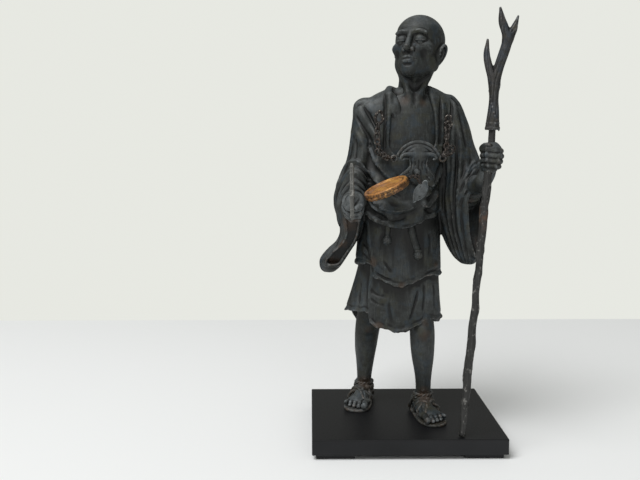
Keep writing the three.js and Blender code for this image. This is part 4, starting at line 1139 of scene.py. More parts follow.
def shape_hands(clay):
    x, y, z = staff_point(STAFF_FIST_HEIGHT)
    clay.limb(0, [(-28, -11, 118.2, 4.6), (-28.4, -16, 117.2, 4.0), (-28.5, -20.4, 116.2, 3.7),
                  (-28.4, -23.4, 115.8, 3.9)])
    fist(clay, MALLET_FIST, MALLET_DIRECTION, (0, 1, 0.1), 1, MALLET_RADIUS)
    clay.limb(0, [(35, -12, 126.6, 4.8), (37.4, -18.4, 127.6, 4.5), (x - 1.0, y + 6.6, z - 11, 4.2),
                  (x, y + 3.8, z - 7, 4.2), (x, y + 4.4, z - 3, 3.9)])
    fist(clay, (x + 0.6, y, z), STAFF_NECK - STAFF_FOOT, (0.12, 1, -0.1), -1, STAFF_RADIUS, 0.86)
    clay.cut(tube([(*staff_point(112), STAFF_RADIUS + 0.1), (*staff_point(154.9), STAFF_RADIUS + 0.1)], 2),
             0.1)


# Legs, feet and sandals

SOLE_THICKNESS = 1.5
FEET = (((-18.4, 28.6, 0), (-27, 0, 0), 1), ((9.6, 4.4, 0), (17.6, -26.2, 0), -1))
LEGS = (
    [(-15, 10, 66, 7.6), (-17, 11.8, 54, 7.2), (-18.3, 13.8, 44, 6.9), (-18.9, 15.6, 35, 6.3),
     (-19.2, 17.6, 25, 5.1), (-19.4, 19.6, 16, 4.2), (-19.4, 21.4, 10, 4.1), (-19.4, 23, 5, 4.4)],
    [(7, 0, 68, 7.6), (9.4, -3, 56, 6.8), (10.4, -4.4, 47, 6.8), (10.7, -4.6, 38, 6.5),
     (11.2, -4.2, 28, 5.3), (11.6, -3, 19, 4.3), (11.8, -2, 10, 4.1), (11.8, -1.2, 5, 4.4)],
)


def foot_pose(heel, toes, sign=1):
    bearing = math.degrees(math.atan2(toes[0] - heel[0], -(toes[1] - heel[1])))
    return framed(turned((0, 0, bearing)), heel) @ np.diag([sign, 1, 1, 1])


def shape_feet(clay):
    for stations, (heel, toes, sign) in zip(LEGS, FEET):
        clay.limb(0, stations)
        x, y, _, _ = stations[4]
        clay.ball(3, (x, y + 1.6, 34), (4.6, 3.9, 8.5))
        clay.limb(2.5, [(x, y - 3.4, 42, 1.5), (x, y - 3.2, 26, 1.2), (x, y - 2.6, 15, 0.8)])
        clay.ball(2.5, (stations[2][0], stations[2][1] - 4.4, 47), (3.6, 3.2, 3.8))
        ankle_x, ankle_y = stations[6][:2]
        for s in SIDES:
            clay.ball(1.2, (ankle_x + s * 3.6, ankle_y + 0.4, 11.5), (1.3, 1.6, 1.6))
        back = [(x, y + r - 0.7, z, 0.5 + 0.03 * (35 - z)) for x, y, z, r in stations[3:6]]
        clay.limb(2.2, [*back, (ankle_x, ankle_y + 3.2, 11.5, 1.6), (heel[0], heel[1] - 2.6, 7.5, 2.4)])
        clay.pose = foot_pose(heel, toes, sign)
        base = SOLE_THICKNESS
        clay.ball(3, (0, -1.5, base + 3.2), (4.1, 4.2, 3.9))
        clay.limb(2, [(0, -2, base + 5.0, 4.2), (0.4, -9, base + 5.4, 4.4), (0.9, -16, base + 3.8, 3.5),
                      (1.2, -22, base + 2.6, 2.4)])
        clay.ball(2.2, (1.0, -20.5, base + 2.2), (6.4, 5.0, 2.5))
        clay.ball(2, (3.6, -12, base + 2.6), (2.4, 7, 2.6))
        clay.ball(2, (-2.6, -12, base + 2.0), (2.4, 8, 2.2))
        for i in range(5):
            big = 1.32 if i == 0 else 1 - 0.05 * i
            x = 6.0 - i * 2.72 - (0.5 if i else 0)
            tip = 29.4 - 0.26 * i * i - (0.4 if i else 0)
            clay.limb(0.35, [(x * 0.86, -22.4, base + 2.3, 1.25 * big),
                             (x * 0.97, -25.4, base + 2.5, 1.15 * big),
                             (x, -tip + 1.3, base + 1.5 * big, 1.3 * big)])
            clay.ball(0.4, (x, -tip + 0.6, base + 1.45 * big), (1.3 * big, 1.4, 1.25 * big))
            clay.ball(0.1, (x, -tip + 0.9, base + 2.35 * big), (0.85 * big, 1.1, 0.55), (-22, 0, 0))
            if i < 4:
                tendon = [(0.6 - 0.2 * i, -12, base + 7.6), (x * 0.7, -18, base + 5.6),
                          (x * 0.86, -23.4, base + 3.6)]
                clay.line(0.6, 0.3, spline(tendon, 10))
        clay.pose = None


def rope(stations, strands=2, twist=14.0, count=30):
    """A twisted cord through stations of the form (x, y, z, radius)."""
    line = spline(stations, count)
    path, radii = line[:, :3], line[:, 3]
    shares = np.linspace(0, 1, count)
    run = np.gradient(path, axis=0)
    run /= np.linalg.norm(run, axis=1, keepdims=True)
    aside = np.cross(run, [0.11, 0.07, 0.99])
    aside /= np.maximum(np.linalg.norm(aside, axis=1, keepdims=True), 1e-6)
    up = np.cross(aside, run)

    def field(points):
        distance, share = along_path(points, path)
        place = share * (count - 1)
        i = np.clip(np.rint(place).astype(int), 0, count - 1)
        gap = points - path[i]
        turn = np.arctan2((gap * up[i]).sum(1), (gap * aside[i]).sum(1))
        groove = 0.5 + 0.5 * np.cos(strands * turn - twist * share * 2)
        return distance - np.interp(share, shares,
                                    radii) * (0.82 + 0.3 * groove * ease(distance / radii.mean()))
    reach = radii[:, None] * 1.2
    return Shape(field, (path - reach).min(0), (path + reach).max(0))


def rope_ring(place, radius, thick, tilt, strands=3, turns=15):
    """One turn of twisted rope round an ankle."""
    place = np.array(place, float)

    def field(points):
        x, y, z = (points - place).T
        bearing = np.arctan2(y, x)
        across = np.hypot(x, y) - radius
        high = z - tilt * np.cos(bearing + 0.6)
        turn = np.arctan2(high, across)
        groove = 0.5 + 0.5 * np.cos(strands * turn - turns * bearing)
        return np.hypot(across, high) - thick * (0.8 + 0.32 * groove)
    reach = np.array([radius + thick * 1.2, radius + thick * 1.2, thick * 1.2 + tilt])
    return Shape(field, place - reach, place + reach)


def shape_sandals(clay):
    """Woven soles, their straps, and the turns of twisted rope round the ankles."""
    for stations, (heel, toes, sign) in zip(LEGS, FEET):
        clay.pose = foot_pose(heel, toes)

        def sole(points, sign=sign):
            x, y, z = points.T
            share = np.clip(-y / 31, 0, 1)
            half = mix(5.2, 7.5, ease(share * 1.5)) * np.sqrt(np.clip(1 - (np.maximum(share - 0.72, 0)
                                                                           / 0.3) ** 2, 0.02, 1))
            half = half * np.sqrt(np.clip(1 - (np.maximum(0.1 - share, 0) / 0.16) ** 2, 0.02, 1))
            beside = np.abs(x - sign * 0.9 * share) - half
            ends = np.maximum(-y - 31, y - 3.6)
            weave = 0.16 * np.sin(y * 2.9) * np.cos(x * 2.4)
            height = np.abs(z - SOLE_THICKNESS / 2
                            - 0.05) - SOLE_THICKNESS / 2 - weave * ease((z - 1) / 0.5)
            return smooth_high(smooth_high(0.8 * beside, ends, 1.5), height, 0.7)
        clay.add(Shape(sole, (-9, -33, -1), (9, 5, 3)))
        between = (sign * 4.5, -24.6, 3.0, 0.8)
        straps = [
            [(-5.6, -9, 2.2, 0.8), (-5.0, -10.6, 6.4, 0.8), (-2.4, -13.6, 9.2, 0.85),
             (sign * 1.2, -17.2, 7.9, 0.9), (sign * 3.9, -21.6, 5.2, 0.9), between],
            [(5.6, -9, 2.2, 0.8), (5.2, -10.6, 6.4, 0.8), (3.0, -13.6, 9.0, 0.85),
             (sign * 1.4, -17.2, 8.0, 0.9), (sign * 3.9, -21.6, 5.3, 0.9)],
            [(-6.4, -15.6, 2.0, 0.75), (-5.4, -15.0, 5.6, 0.75), (0.2, -14.6, 8.8, 0.8),
             (5.6, -15.0, 5.8, 0.75), (6.6, -15.6, 2.0, 0.75)],
            [(-4.8, 0.4, 2.0, 0.75), (-4.9, -3, 6.4, 0.8), (-3.8, -7.4, 9.4, 0.8), (0, -9.4, 10.6, 0.85),
             (3.8, -7.4, 9.4, 0.8), (4.9, -3, 6.4, 0.8),
             (4.8, 0.4, 2.0, 0.75)],
        ]
        for strap in straps:
            clay.add(rope([(x, y, z, 1.15 * r) for x, y, z, r in strap]), 0.2)
        clay.pose = None
        x, y = stations[6][:2]
        for ring in range(4):
            clay.add(rope_ring((x, y + 0.6 - 0.1 * ring, 6.0 + 1.75 * ring), 4.9 - 0.12 * ring, 1.05,
                               0.5 * math.sin(ring * 2.3)), 0.15)
        clay.ball(0.4, (x + 1.4, y - 5.4, 9.2), (1.9, 1.5, 1.7))
        for drop in (-1.6, 1.4):
            clay.add(rope([(x + 1.4, y - 5.6, 9, 0.8), (x + 1.4 + drop, y - 6.6, 7, 0.8),
                           (x + 1.4 + 1.6 * drop, y - 7.0, 4.4, 0.75)], 2, 5, 10), 0.3)


# Staff, antler head, yoke, gong, knot and mallet

def swept(name, stations, sides, rows, relief=None):
    """A closed round bar through stations of the form (x, y, z, radius). Relief gives its skin's height."""
    line = spline(stations, rows)
    run = np.gradient(line[:, :3], axis=0)
    run /= np.linalg.norm(run, axis=1, keepdims=True)
    aside = np.cross(run, [0.31, 0.95, 0.05])
    aside /= np.linalg.norm(aside, axis=1, keepdims=True)
    across = np.cross(run, aside)
    angle = np.arange(sides) / sides * 2 * math.pi
    share = np.linspace(0, 1, rows)
    radius = line[:, 3][:, None] + (relief(share[:, None], angle[None]) if relief else 0)
    ends = np.minimum(1, np.sqrt(np.minimum(share, 1 - share) * (rows - 1) / 2 * 0.5 + 0.5))[:, None]
    radius = radius * ends
    rings = (line[:, None, :3] + radius[..., None] * (np.cos(angle)[None, :, None] * aside[:, None]
                                                      + np.sin(angle)[None, :, None] * across[:, None]))
    return finished(name, ringed(name, rings, line[[0, -1], :3]))


def branch_relief(share, angle):
    """The skin of a peeled branch: long ridges that wander, small scars and shallow facets."""
    ridges = 0.10 * np.sin(5 * angle + 9 * share + 2 * np.sin(21 * share))
    fine = 0.05 * np.sin(13 * angle - 16 * share + 3 * np.sin(33 * share + angle))
    knots = 0.42 * bump(np.sin(31 * share + 1.5 * np.sin(angle)),
                        0.35) * (0.5 + 0.5 * np.sin(3 * angle + 40 * share))
    return ridges + fine + knots - 0.05


def staff_stations():
    stations = []
    for i in range(27):
        z = mix(STAFF_FOOT[2], SHAFT_END, i / 26)
        x, y, _ = staff_point(z)
        stations.append((x + 0.24 * math.sin(i * 1.9), y + 0.24 * math.sin(i * 2.7 + 1), z,
                         STAFF_RADIUS - 0.2 + 0.36 * math.sin(i * 2.9) ** 2 - 0.1 * i / 26))
    return stations


SOCKET_RADIUS = 3.6
ANTLER_TRUNK = [
    (-0.1, 0, 0.3, SOCKET_RADIUS), (0, 0, 4, SOCKET_RADIUS - 0.3), (0.3, 0, 10, 2.75), (0.4, 0, 16, 2.35),
    (0.6, 0, 24, 2.8), (2.4, 0, 31, 2.5), (5.6, -0.4, 41, 2.5), (6.4, -0.8, 46, 2.2),
]
ANTLER_TINES = [
    [(0.6, 0, 22, 2.3), (-2.0, -0.4, 29, 2.0), (-3.8, -0.8, 37, 1.65), (-3.6, -1, 44, 0.6)],
    [(6.4, -0.8, 45, 2.2), (3.6, -1, 52.4, 2.0), (2.2, -1.2, 59.2, 0.6)],
    [(6.4, -0.6, 44, 2.1), (9.2, -0.6, 49.4, 1.8), (11.2, -0.6, 55.4, 0.5)],
]


def shape_antler(clay):
    def at_neck(stations):
        return [(x + STAFF_NECK[0], y + STAFF_NECK[1], z + STAFF_NECK[2], r) for x, y, z, r in stations]
    trunk = kept(tube(at_neck(ANTLER_TRUNK), 40), slab_above(STAFF_NECK[2] + 0.35))
    clay.add(trunk)
    for tine in ANTLER_TINES:
        clay.limb(1.6, at_neck(tine), 24)
    for x, z, thick in ((-0.1, 1.3, 0.4), (0.05, 3.6, 0.3)):
        angle = np.linspace(0, 2 * math.pi, 37)
        radius = SOCKET_RADIUS - 0.3 - 0.06 * z + 0.06 * np.cos(9 * angle)
        clay.limb(0.4, np.column_stack([STAFF_NECK[0] + x + radius * np.cos(angle),
                                        STAFF_NECK[1] + radius * np.sin(angle),
                                        np.full(37, STAFF_NECK[2] + z), np.full(37, thick)]), 37)
    for lines, count in ((ANTLER_TRUNK, 7), *((tine, 5) for tine in ANTLER_TINES)):
        line = spline(at_neck(lines), 30)
        for i in range(count):
            turn = 2 * math.pi * i / count + np.linspace(0, 1.6, 30)
            path = line[:, :3] + line[:, 3:] * np.column_stack([np.cos(turn), np.sin(turn), 0 * turn])
            clay.line(0.42, -0.3, path)
    for i in range(22):
        share = (i * 0.618) % 1
        place = spline(at_neck(ANTLER_TRUNK), 60)[int(59 * share)]
        turn = i * 2.4
        clay.ball(0.5, place[:3] + place[3] * 0.92 * np.array([math.cos(turn), math.sin(turn), 0]),
                  (0.42, 0.42, 0.6))


def slab_above(height):
    return Shape(lambda points: height - points[:, 2], (-999, -999, -999), (999, 999, 999))


YOKE_MIDDLE = 5.4
YOKE_Y = -16.0


def flattened(shape, y, flat):
    """A shape squeezed towards a plane across Y."""
    stretch = np.array([1, 1 / flat, 1])
    shift = np.array([0, y, 0])
    return Shape(lambda points: shape.field((points - shift) * stretch) * 0.8,
                 shape.low / stretch + shift - 0.2,
                 shape.high / stretch + shift + 0.2)


def shape_yoke(clay):
    """A carved arch on a waisted post that spreads into two leaves, with the peg that holds the gong."""
    def flat(stations, y=YOKE_Y, flat=0.5, count=None):
        return flattened(tube([(YOKE_MIDDLE + x, 0, z, r) for x, z, r in stations], count), y, flat)

    def arch(wide, high, foot, radius, y):
        """A rib over the post, from one foot height to the other."""
        start = math.asin((foot - 136.6) / high)
        turn = np.linspace(math.pi - start, start, 21)
        fade = radius * (0.55 + 0.45 * np.sin(np.linspace(0, math.pi, 21)))
        return flat(np.column_stack([wide * np.cos(turn), 136.6 + high * np.sin(turn), fade]), y, 0.8, 40)
    clay.add(flat([(-5, 144.4, 1.8), (0, 145.6, 3.2), (5, 144.4, 1.8)], YOKE_Y + 0.7, 0.3))
    for i in range(4):
        clay.add(arch(12.2 - 1.9 * i, 12.7 - 1.75 * i, 141.4 + 0.4 * i, 1.12, YOKE_Y - 0.45 * i), 0.1)
    for side in SIDES:
        clay.add(flat([(side * 2, 143.2, 1.0), (side * 5.6, 143.2, 1.1), (side * 8.3, 142.4, 1.0),
                       (side * 8.9, 141, 0.8), (side * 7.8, 140.6, 0.5)],
                      YOKE_Y - 1.6, 0.9), 0.3)
        x, z = YOKE_MIDDLE + side * 12.6, 141.0
        angle = np.linspace(0, 2 * math.pi, 25)
        clay.limb(0.4, np.column_stack([x + 1.4 * np.cos(angle), np.full(25, YOKE_Y - 0.2),
                                        z + 1.4 * np.sin(angle), np.full(25, 0.6)]), 25)
    clay.add(flat([(0, 142.4, 5.6), (0, 140.6, 4.9), (0, 138.4, 4.3), (0, 135.6, 4.9), (0.2, 132.8, 5.4)],
                  YOKE_Y - 0.2, 0.42), 1.0)
    clay.add(flat([(1, 134, 5.0), (3.4, 131.4, 4.6), (5.8, 129.4, 3.2), (7.6, 127.4, 1.0)], YOKE_Y - 0.5,
                  0.4), 1.0)
    clay.add(flat([(-2, 134.4, 4.0), (-5.6, 133.2, 2.2), (-9.6, 131.8, 0.7)], YOKE_Y - 0.5, 0.5), 0.8)
    clay.limb(0.6, [(4.3, -17.4, 134.4, 1.8), (4.2, -22, 133.4, 1.5), (3.9, -25.2, 132.2, 1.3)])
    draw_ridges(clay, "front", [
        *[(0.34, -0.5, [(YOKE_MIDDLE + s * 1.15, 142), (YOKE_MIDDLE + s * 0.9, 138.8),
                        (YOKE_MIDDLE + s * 0.95, 135.6), (YOKE_MIDDLE + 0.2 + s * 1.2, 132.6)])
          for s in (-4, -2, 0, 2, 4)],
        (0.5, 0.5, [(YOKE_MIDDLE - 5.2, 143), (YOKE_MIDDLE - 4.2, 139), (YOKE_MIDDLE - 4.9, 135.6),
                    (YOKE_MIDDLE - 8, 132.8)]),
        (0.5, 0.5, [(YOKE_MIDDLE + 5.2, 143), (YOKE_MIDDLE + 4.2, 139), (YOKE_MIDDLE + 5.2, 135),
                    (YOKE_MIDDLE + 8, 131.4), (YOKE_MIDDLE + 8.2, 128.6)]),
        (0.32, -0.5, [(1.6, 134.2), (-1.4, 132.8), (-3.4, 132.1)]),
                                (0.32, -0.5, [(8, 133.4), (10.4, 130.8), (12.2, 128.4)]),
        *[(0.26, -0.35, [(x, z), (x - 1.3, z - 1.2)])
          for x, z in ((1.2, 135.2), (-0.4, 134.6), (-1.8, 133.8))],
        *[(0.26, -0.35, [(x, z), (x + 1.8, z - 0.4)])
          for x, z in ((8.4, 133.8), (9.8, 132.2), (10.8, 130.4))],
    ])


GONG_PLACE = np.array([-12.4, -31, 126.2])
GONG_AXIS = np.array([-0.4, -0.13, 0.91])


def gong_mesh(name):
    """A turned disc with a rolled rim, a step inside it and small chisel marks on its skin."""
    profile = [(0, -1.4), (7.4, -1.4), (8.0, -1.15), (8.6, -1.4), (9.8, -1.45), (10.6, -1.9), (11.2, -1.8),
               (11.7, -1.1), (11.8, -0.3),
               (11.5, 0.1), (11.75, 0.5), (11.65, 1.2), (11.2, 1.85), (10.6, 2.0), (10.1, 1.75),
               (9.8, 1.35), (9.4, 1.3), (9.1, 1.6),
               (8.6, 1.7), (8.2, 1.45), (7.4, 1.55), (4, 1.95), (0, 2.25)]
    fine = spline(profile, 90)
    sides = 120
    angle = np.arange(sides) / sides * 2 * math.pi
    axis = GONG_AXIS / np.linalg.norm(GONG_AXIS)
    aside = np.cross(axis, [0, 1, 0])
    aside /= np.linalg.norm(aside)
    across = np.cross(axis, aside)
    radius, height = fine[1:-1, 0][:, None], fine[1:-1, 1][:, None]
    chisel = 0.05 * np.sin(17 * angle + 2.6 * radius) * np.sin(2.1 * radius + 5 * angle) * ease(radius / 3)
    around = (radius * np.cos(angle))[..., None] * aside + (radius * np.sin(angle))[..., None] * across
    rings = GONG_PLACE + around + (height + chisel)[..., None] * axis
    mesh = ringed(name, rings, [GONG_PLACE + fine[end, 1] * axis for end in (0, -1)])
    side = ease((radius - 11.0) / 0.4) * (1 - ease((height - 1.2) / 0.5))
    band = np.maximum(side, np.where(height > 0, bump(radius - 9.45, 0.45), 1.0))
    marked(mesh, "rim", np.concatenate([np.repeat(band.ravel(), sides), [1.0, 0.0]]))
    return finished(name, mesh)


def shape_leaf(clay):
    """The carved leaf that hangs beside the gong."""
    clay.add(flattened(tube([(7.6, 0, 129.2, 1.2), (6.6, 0, 127, 2.7), (5.0, 0, 124.2, 3.2),
                             (3.2, 0, 121.6, 2.2), (1.8, 0, 119.2, 0.5)], 24), -27.8, 0.35))
    edge = [(5.0, 129.6), (2.6, 127.4), (1.4, 124), (1.2, 120.4)]
    draw_ridges(clay, "front",
                [(0.6, 0.9, edge), (0.45, 0.5, [(8.6, 128.6), (8.0, 125), (6.0, 121.8), (2.8, 119.4)]),
                 (0.5, 0.3, [(6.8, 129), (4.8, 124.6), (2.4, 120.6)])]
                + [(0.28, -0.3, [(6.0 - 0.6 * i, 127.6 - 1.4 * i),
                                 (6.0 - 0.6 * i + s * 2.0, 127 - 1.4 * i + 0.8 * s)]) for i in range(5)
                   for s in SIDES])


def shape_knot(clay):
    """The twisted cord that ties the gong to the yoke."""
    clay.add(rope([(5.4, -27.6, 128.4, 0.8), (3.6, -28.2, 131, 0.85), (1.0, -29.3, 132.3, 0.8),
                   (-0.9, -30.3, 131.8, 0.7)], 2, 9, 24), 0.1)
    for place, size in (((4.4, -28.2, 130.2), 1.3), ((2.2, -28.9, 131.9), 1.2), ((-0.4, -30, 131.9), 1.0),
                        ((4.0, -28.4, 132.2), 0.8)):
        clay.ball(0.25, place, (size, size * 0.9, size * 0.8), (0, 30, 0))
    clay.add(loop((2.9, -28.6, 132.4), 1.2, 1.0, 0.4, (20, 0, 30)), 0.15)


def shape_mallet(clay):
    direction = MALLET_DIRECTION / np.linalg.norm(MALLET_DIRECTION)
    tail = MALLET_FIST - 8 * direction
    clay.limb(0, [(*tail, MALLET_RADIUS), (*MALLET_HEAD, MALLET_RADIUS - 0.1)], 4)
    x, y, z = MALLET_HEAD
    rows = [(x + 0.2 - 0.4 * t, y, z + MALLET_HEAD_HALF * (2 * t - 1) * 0.95, r) for t, r in (
        (0, 0.75), (0.03, 1.05), (0.1, 1.0), (0.25, 1.05), (0.45, 1.15), (0.5, 1.3), (0.55, 1.15),
        (0.75, 1.05), (0.9, 1.0), (0.97, 1.05), (1, 0.75))]
    clay.limb(0.4, rows, 60)
    for share in (0.05, 0.16, 0.42, 0.58, 0.84, 0.95):
        clay.ball(0.25, (x + 0.2 - 0.4 * share, y, z + MALLET_HEAD_HALF * (2 * share - 1) * 0.95),
                  (1.32, 1.32, 0.4))
    for turn in (0.3, 1.9, 3.4, 5.0):
        path = np.array([(x + 1.05 * math.cos(turn + 0.2 * i), y + 1.05 * math.sin(turn + 0.2 * i),
                          z - 13 + 2.6 * i) for i in range(11)])
        clay.line(0.3, -0.14, path)


# Chains, by Geometry Nodes: one link is set along a hanging curve, every other one turned a quarter

CHAINS = {
    "chain_right": [(-15.2, -13.2, 159.4), (-15.8, -14.0, 155), (-15.9, -14.8, 150.6),
                    (-15.2, -15.4, 146.6), (-13.6, -16, 143.4)],
    "chain_left": [(20.9, -12.8, 158.6), (20.6, -13.8, 154.4), (20.2, -14.6, 150.4), (20.2, -15.2, 146.8),
                   (20.0, -15.8, 143.8)],
}


def loop(place, wide, high, wire, turn=(0, 0, 0)):
    """A bent ring, wide across and high upright before it is turned."""
    angle = np.linspace(0, 2 * math.pi, 25)
    ring = np.column_stack([wide * np.cos(angle), 0.25 * np.sin(2 * angle),
                            high * np.sin(angle)]) @ turned(turn).T + place
    return tube(np.column_stack([ring, np.full(25, wire)]), 25)


def shape_chain_fittings(clay, side):
    """What a chain hangs from and ends in: an eye, beads and a tangle of small rings."""
    if side < 0:
        clay.add(loop((-14.8, -12.9, 162.2), 2.1, 3.1, 0.8, (8, 0, 18)))
        clay.add(loop((-14.9, -14.2, 144.4), 1.9, 1.5, 0.6, (0, 20, 10)))
        clay.add(loop((-12.4, -16.2, 142.6), 1.7, 1.4, 0.6, (30, 60, 0)), 0.1)
        clay.ball(0.3, (-13.4, -15.8, 143.4), (1.5, 1.2, 1.3))
        clay.ball(0.2, (-10.9, -16.8, 142.0), (1.7, 1.2, 1.2))
        clay.add(loop((-11.8, -17.0, 141.4), 1.5, 1.2, 0.55, (60, 30, 0)), 0.1)
        clay.add(loop((-9.0, -16.8, 141.2), 1.7, 1.1, 0.55, (70, 10, 0)), 0.1)
    else:
        clay.add(loop((21.3, -12.4, 161.7), 1.35, 1.5, 0.62, (10, 0, -16)))
        clay.add(loop((21.2, -12.8, 158.9), 1.8, 1.3, 0.6, (20, 0, 6)), 0.2)
        clay.ball(0.2, (20.2, -14.4, 152.2), (1.1, 1.0, 1.5))
        clay.add(loop((22.6, -15.0, 145.8), 2.1, 2.0, 0.42, (20, 30, 20)))
        clay.add(loop((21.8, -15.2, 144.6), 1.8, 1.5, 0.6, (0, -30, -10)))
        clay.add(loop((19.4, -16.2, 143.2), 1.6, 1.5, 0.6, (30, -60, 0)), 0.1)
        clay.ball(0.3, (20.6, -15.9, 143.8), (1.6, 1.2, 1.4))
        clay.ball(0.2, (18.4, -16.8, 142.6), (1.5, 1.1, 1.2))


def chain_tree(finish):
    tree = bpy.data.node_groups.new("hanging_chain", "GeometryNodeTree")
    for label, kind, value in (("Curve", "Geometry", None), ("Links", "Int", 5),
                               ("Link Radius", "Float", 2 * MM),
                               ("Link Wire", "Float", 0.6 * MM), ("Link Length", "Float", 1.3)):
        socket = tree.interface.new_socket(label, in_out="INPUT", socket_type="NodeSocket" + kind)
        if value:
            socket.default_value = value
    tree.interface.new_socket("Mesh", in_out="OUTPUT", socket_type="NodeSocketGeometry")

    def node(kind, inputs, **values):
        """A new node's first output. What goes in is another output or a value."""
        made = tree.nodes.new(kind)
        for key, value in values.items():
            setattr(made, key, value)
        for key, value in inputs.items():
            if isinstance(value, bpy.types.NodeSocket):
                tree.links.new(value, made.inputs[key])
            else:
                made.inputs[key].default_value = value
        return made.outputs[0] if made.outputs else None
    given = tree.nodes.new("NodeGroupInput").outputs
    spread = node("GeometryNodeResampleCurve", {"Curve": given["Curve"], "Count": given["Links"]},
                  mode="COUNT")
    along = node("FunctionNodeAlignRotationToVector", {"Vector": node("GeometryNodeInputTangent", {})},
                 axis="Z")
    quarter = node("ShaderNodeMath", {0: node("GeometryNodeInputIndex", {}), 1: math.pi / 2},
                   operation="MULTIPLY")
    spin = node("ShaderNodeCombineXYZ", {"Z": quarter})
    turn = node("FunctionNodeRotateRotation", {"Rotation": along, "Rotate By": spin},
                rotation_space="LOCAL")
    ring = node("GeometryNodeCurvePrimitiveCircle", {"Resolution": 36, "Radius": given["Link Radius"]})
    wire = node("GeometryNodeCurvePrimitiveCircle", {"Resolution": 14, "Radius": given["Link Wire"]})
    longer = node("ShaderNodeCombineXYZ", {"X": 1, "Y": given["Link Length"], "Z": 1})
    oval = node("GeometryNodeTransform", {"Geometry": ring, "Scale": longer})
    bar = node("GeometryNodeCurveToMesh", {"Curve": oval, "Profile Curve": wire})
    upright = node("GeometryNodeTransform", {"Geometry": bar, "Rotation": (math.pi / 2, 0, 0)})
    links = node("GeometryNodeInstanceOnPoints", {"Points": spread, "Instance": upright, "Rotation": turn})
    real = node("GeometryNodeRealizeInstances", {"Geometry": links})
    smooth = node("GeometryNodeSetShadeSmooth", {"Geometry": real})
    dressed = node("GeometryNodeSetMaterial", {"Geometry": smooth, "Material": finish})
    node("NodeGroupOutput", {"Mesh": dressed})
    return tree


def hang_chain(name, tree, sizes):
    """Runs the chain tree along the chain's own curve, and keeps the result as a plain mesh."""
    curve = bpy.data.curves.new(name + "_line", "CURVE")
    curve.dimensions = "3D"
    line = np.array(CHAINS[name], float)
    inset = 0.5 / sizes["Links"]
    path = spline(line, 61)[int(60 * inset):61 - int(60 * inset)]
    run = curve.splines.new("POLY")
    run.points.add(len(path) - 1)
    for point, place in zip(run.points, (path + [0, 0, PLINTH_TOP]) * MM):
        point.co = (*place, 1)
    carrier = in_scene(name + "_line", curve)
    modifier = carrier.modifiers.new("chain", "NODES")
    modifier.node_group = tree
    for socket in tree.interface.items_tree:
        if socket.item_type == "SOCKET" and socket.in_out == "INPUT" and socket.name in sizes:
            modifier[socket.identifier] = sizes[socket.name]
    graph = bpy.context.evaluated_depsgraph_get()
    mesh = bpy.data.meshes.new_from_object(carrier.evaluated_get(graph))
    mesh.name = name + "_links"
    carrier.modifiers.remove(modifier)
    bpy.data.objects.remove(carrier)
    bpy.data.curves.remove(curve)
    return in_scene(name + "_links", mesh)


def plinth_mesh(name, bevel):
    """The slab, its set-back plate and its four feet, all with softened edges."""
    low, high = np.array(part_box("plinth"))
    width, depth = high[0] - low[0], high[1] - low[1]
    top, slab_low, plate_low = high[2], 2.5 * MM, 1.3 * MM
    inset, foot = 2 * MM, 20 * MM
    form = bmesh.new()

    def block(x0, x1, y0, y1, z0, z1):
        made = bmesh.ops.create_cube(form, size=1)["verts"]
        for vertex in made:
            vertex.co = Vector((mix(x0, x1, vertex.co.x + 0.5), mix(y0, y1, vertex.co.y + 0.5),
                                mix(z0, z1, vertex.co.z + 0.5)))
        edges = {edge for vertex in made for edge in vertex.link_edges}
        bmesh.ops.bevel(form, geom=list(edges), offset=bevel, segments=4, profile=0.5, affect="EDGES")
    block(-width / 2, width / 2, -depth / 2, depth / 2, slab_low, top)
    block(-width / 2 + inset, width / 2 - inset, -depth / 2 + inset, depth / 2 - inset, plate_low,
          slab_low + 1 * MM)
    for sx in SIDES:
        for sy in SIDES:
            x = sx * (width / 2 - inset - foot / 2)
            y = sy * (depth / 2 - inset - foot / 2)
            block(x - foot / 2, x + foot / 2, y - foot / 2, y + foot / 2, 0, plate_low + 0.8 * MM)
    mesh = bpy.data.meshes.new(name)
    form.to_mesh(mesh)
    form.free()
    return finished(name, mesh, False)
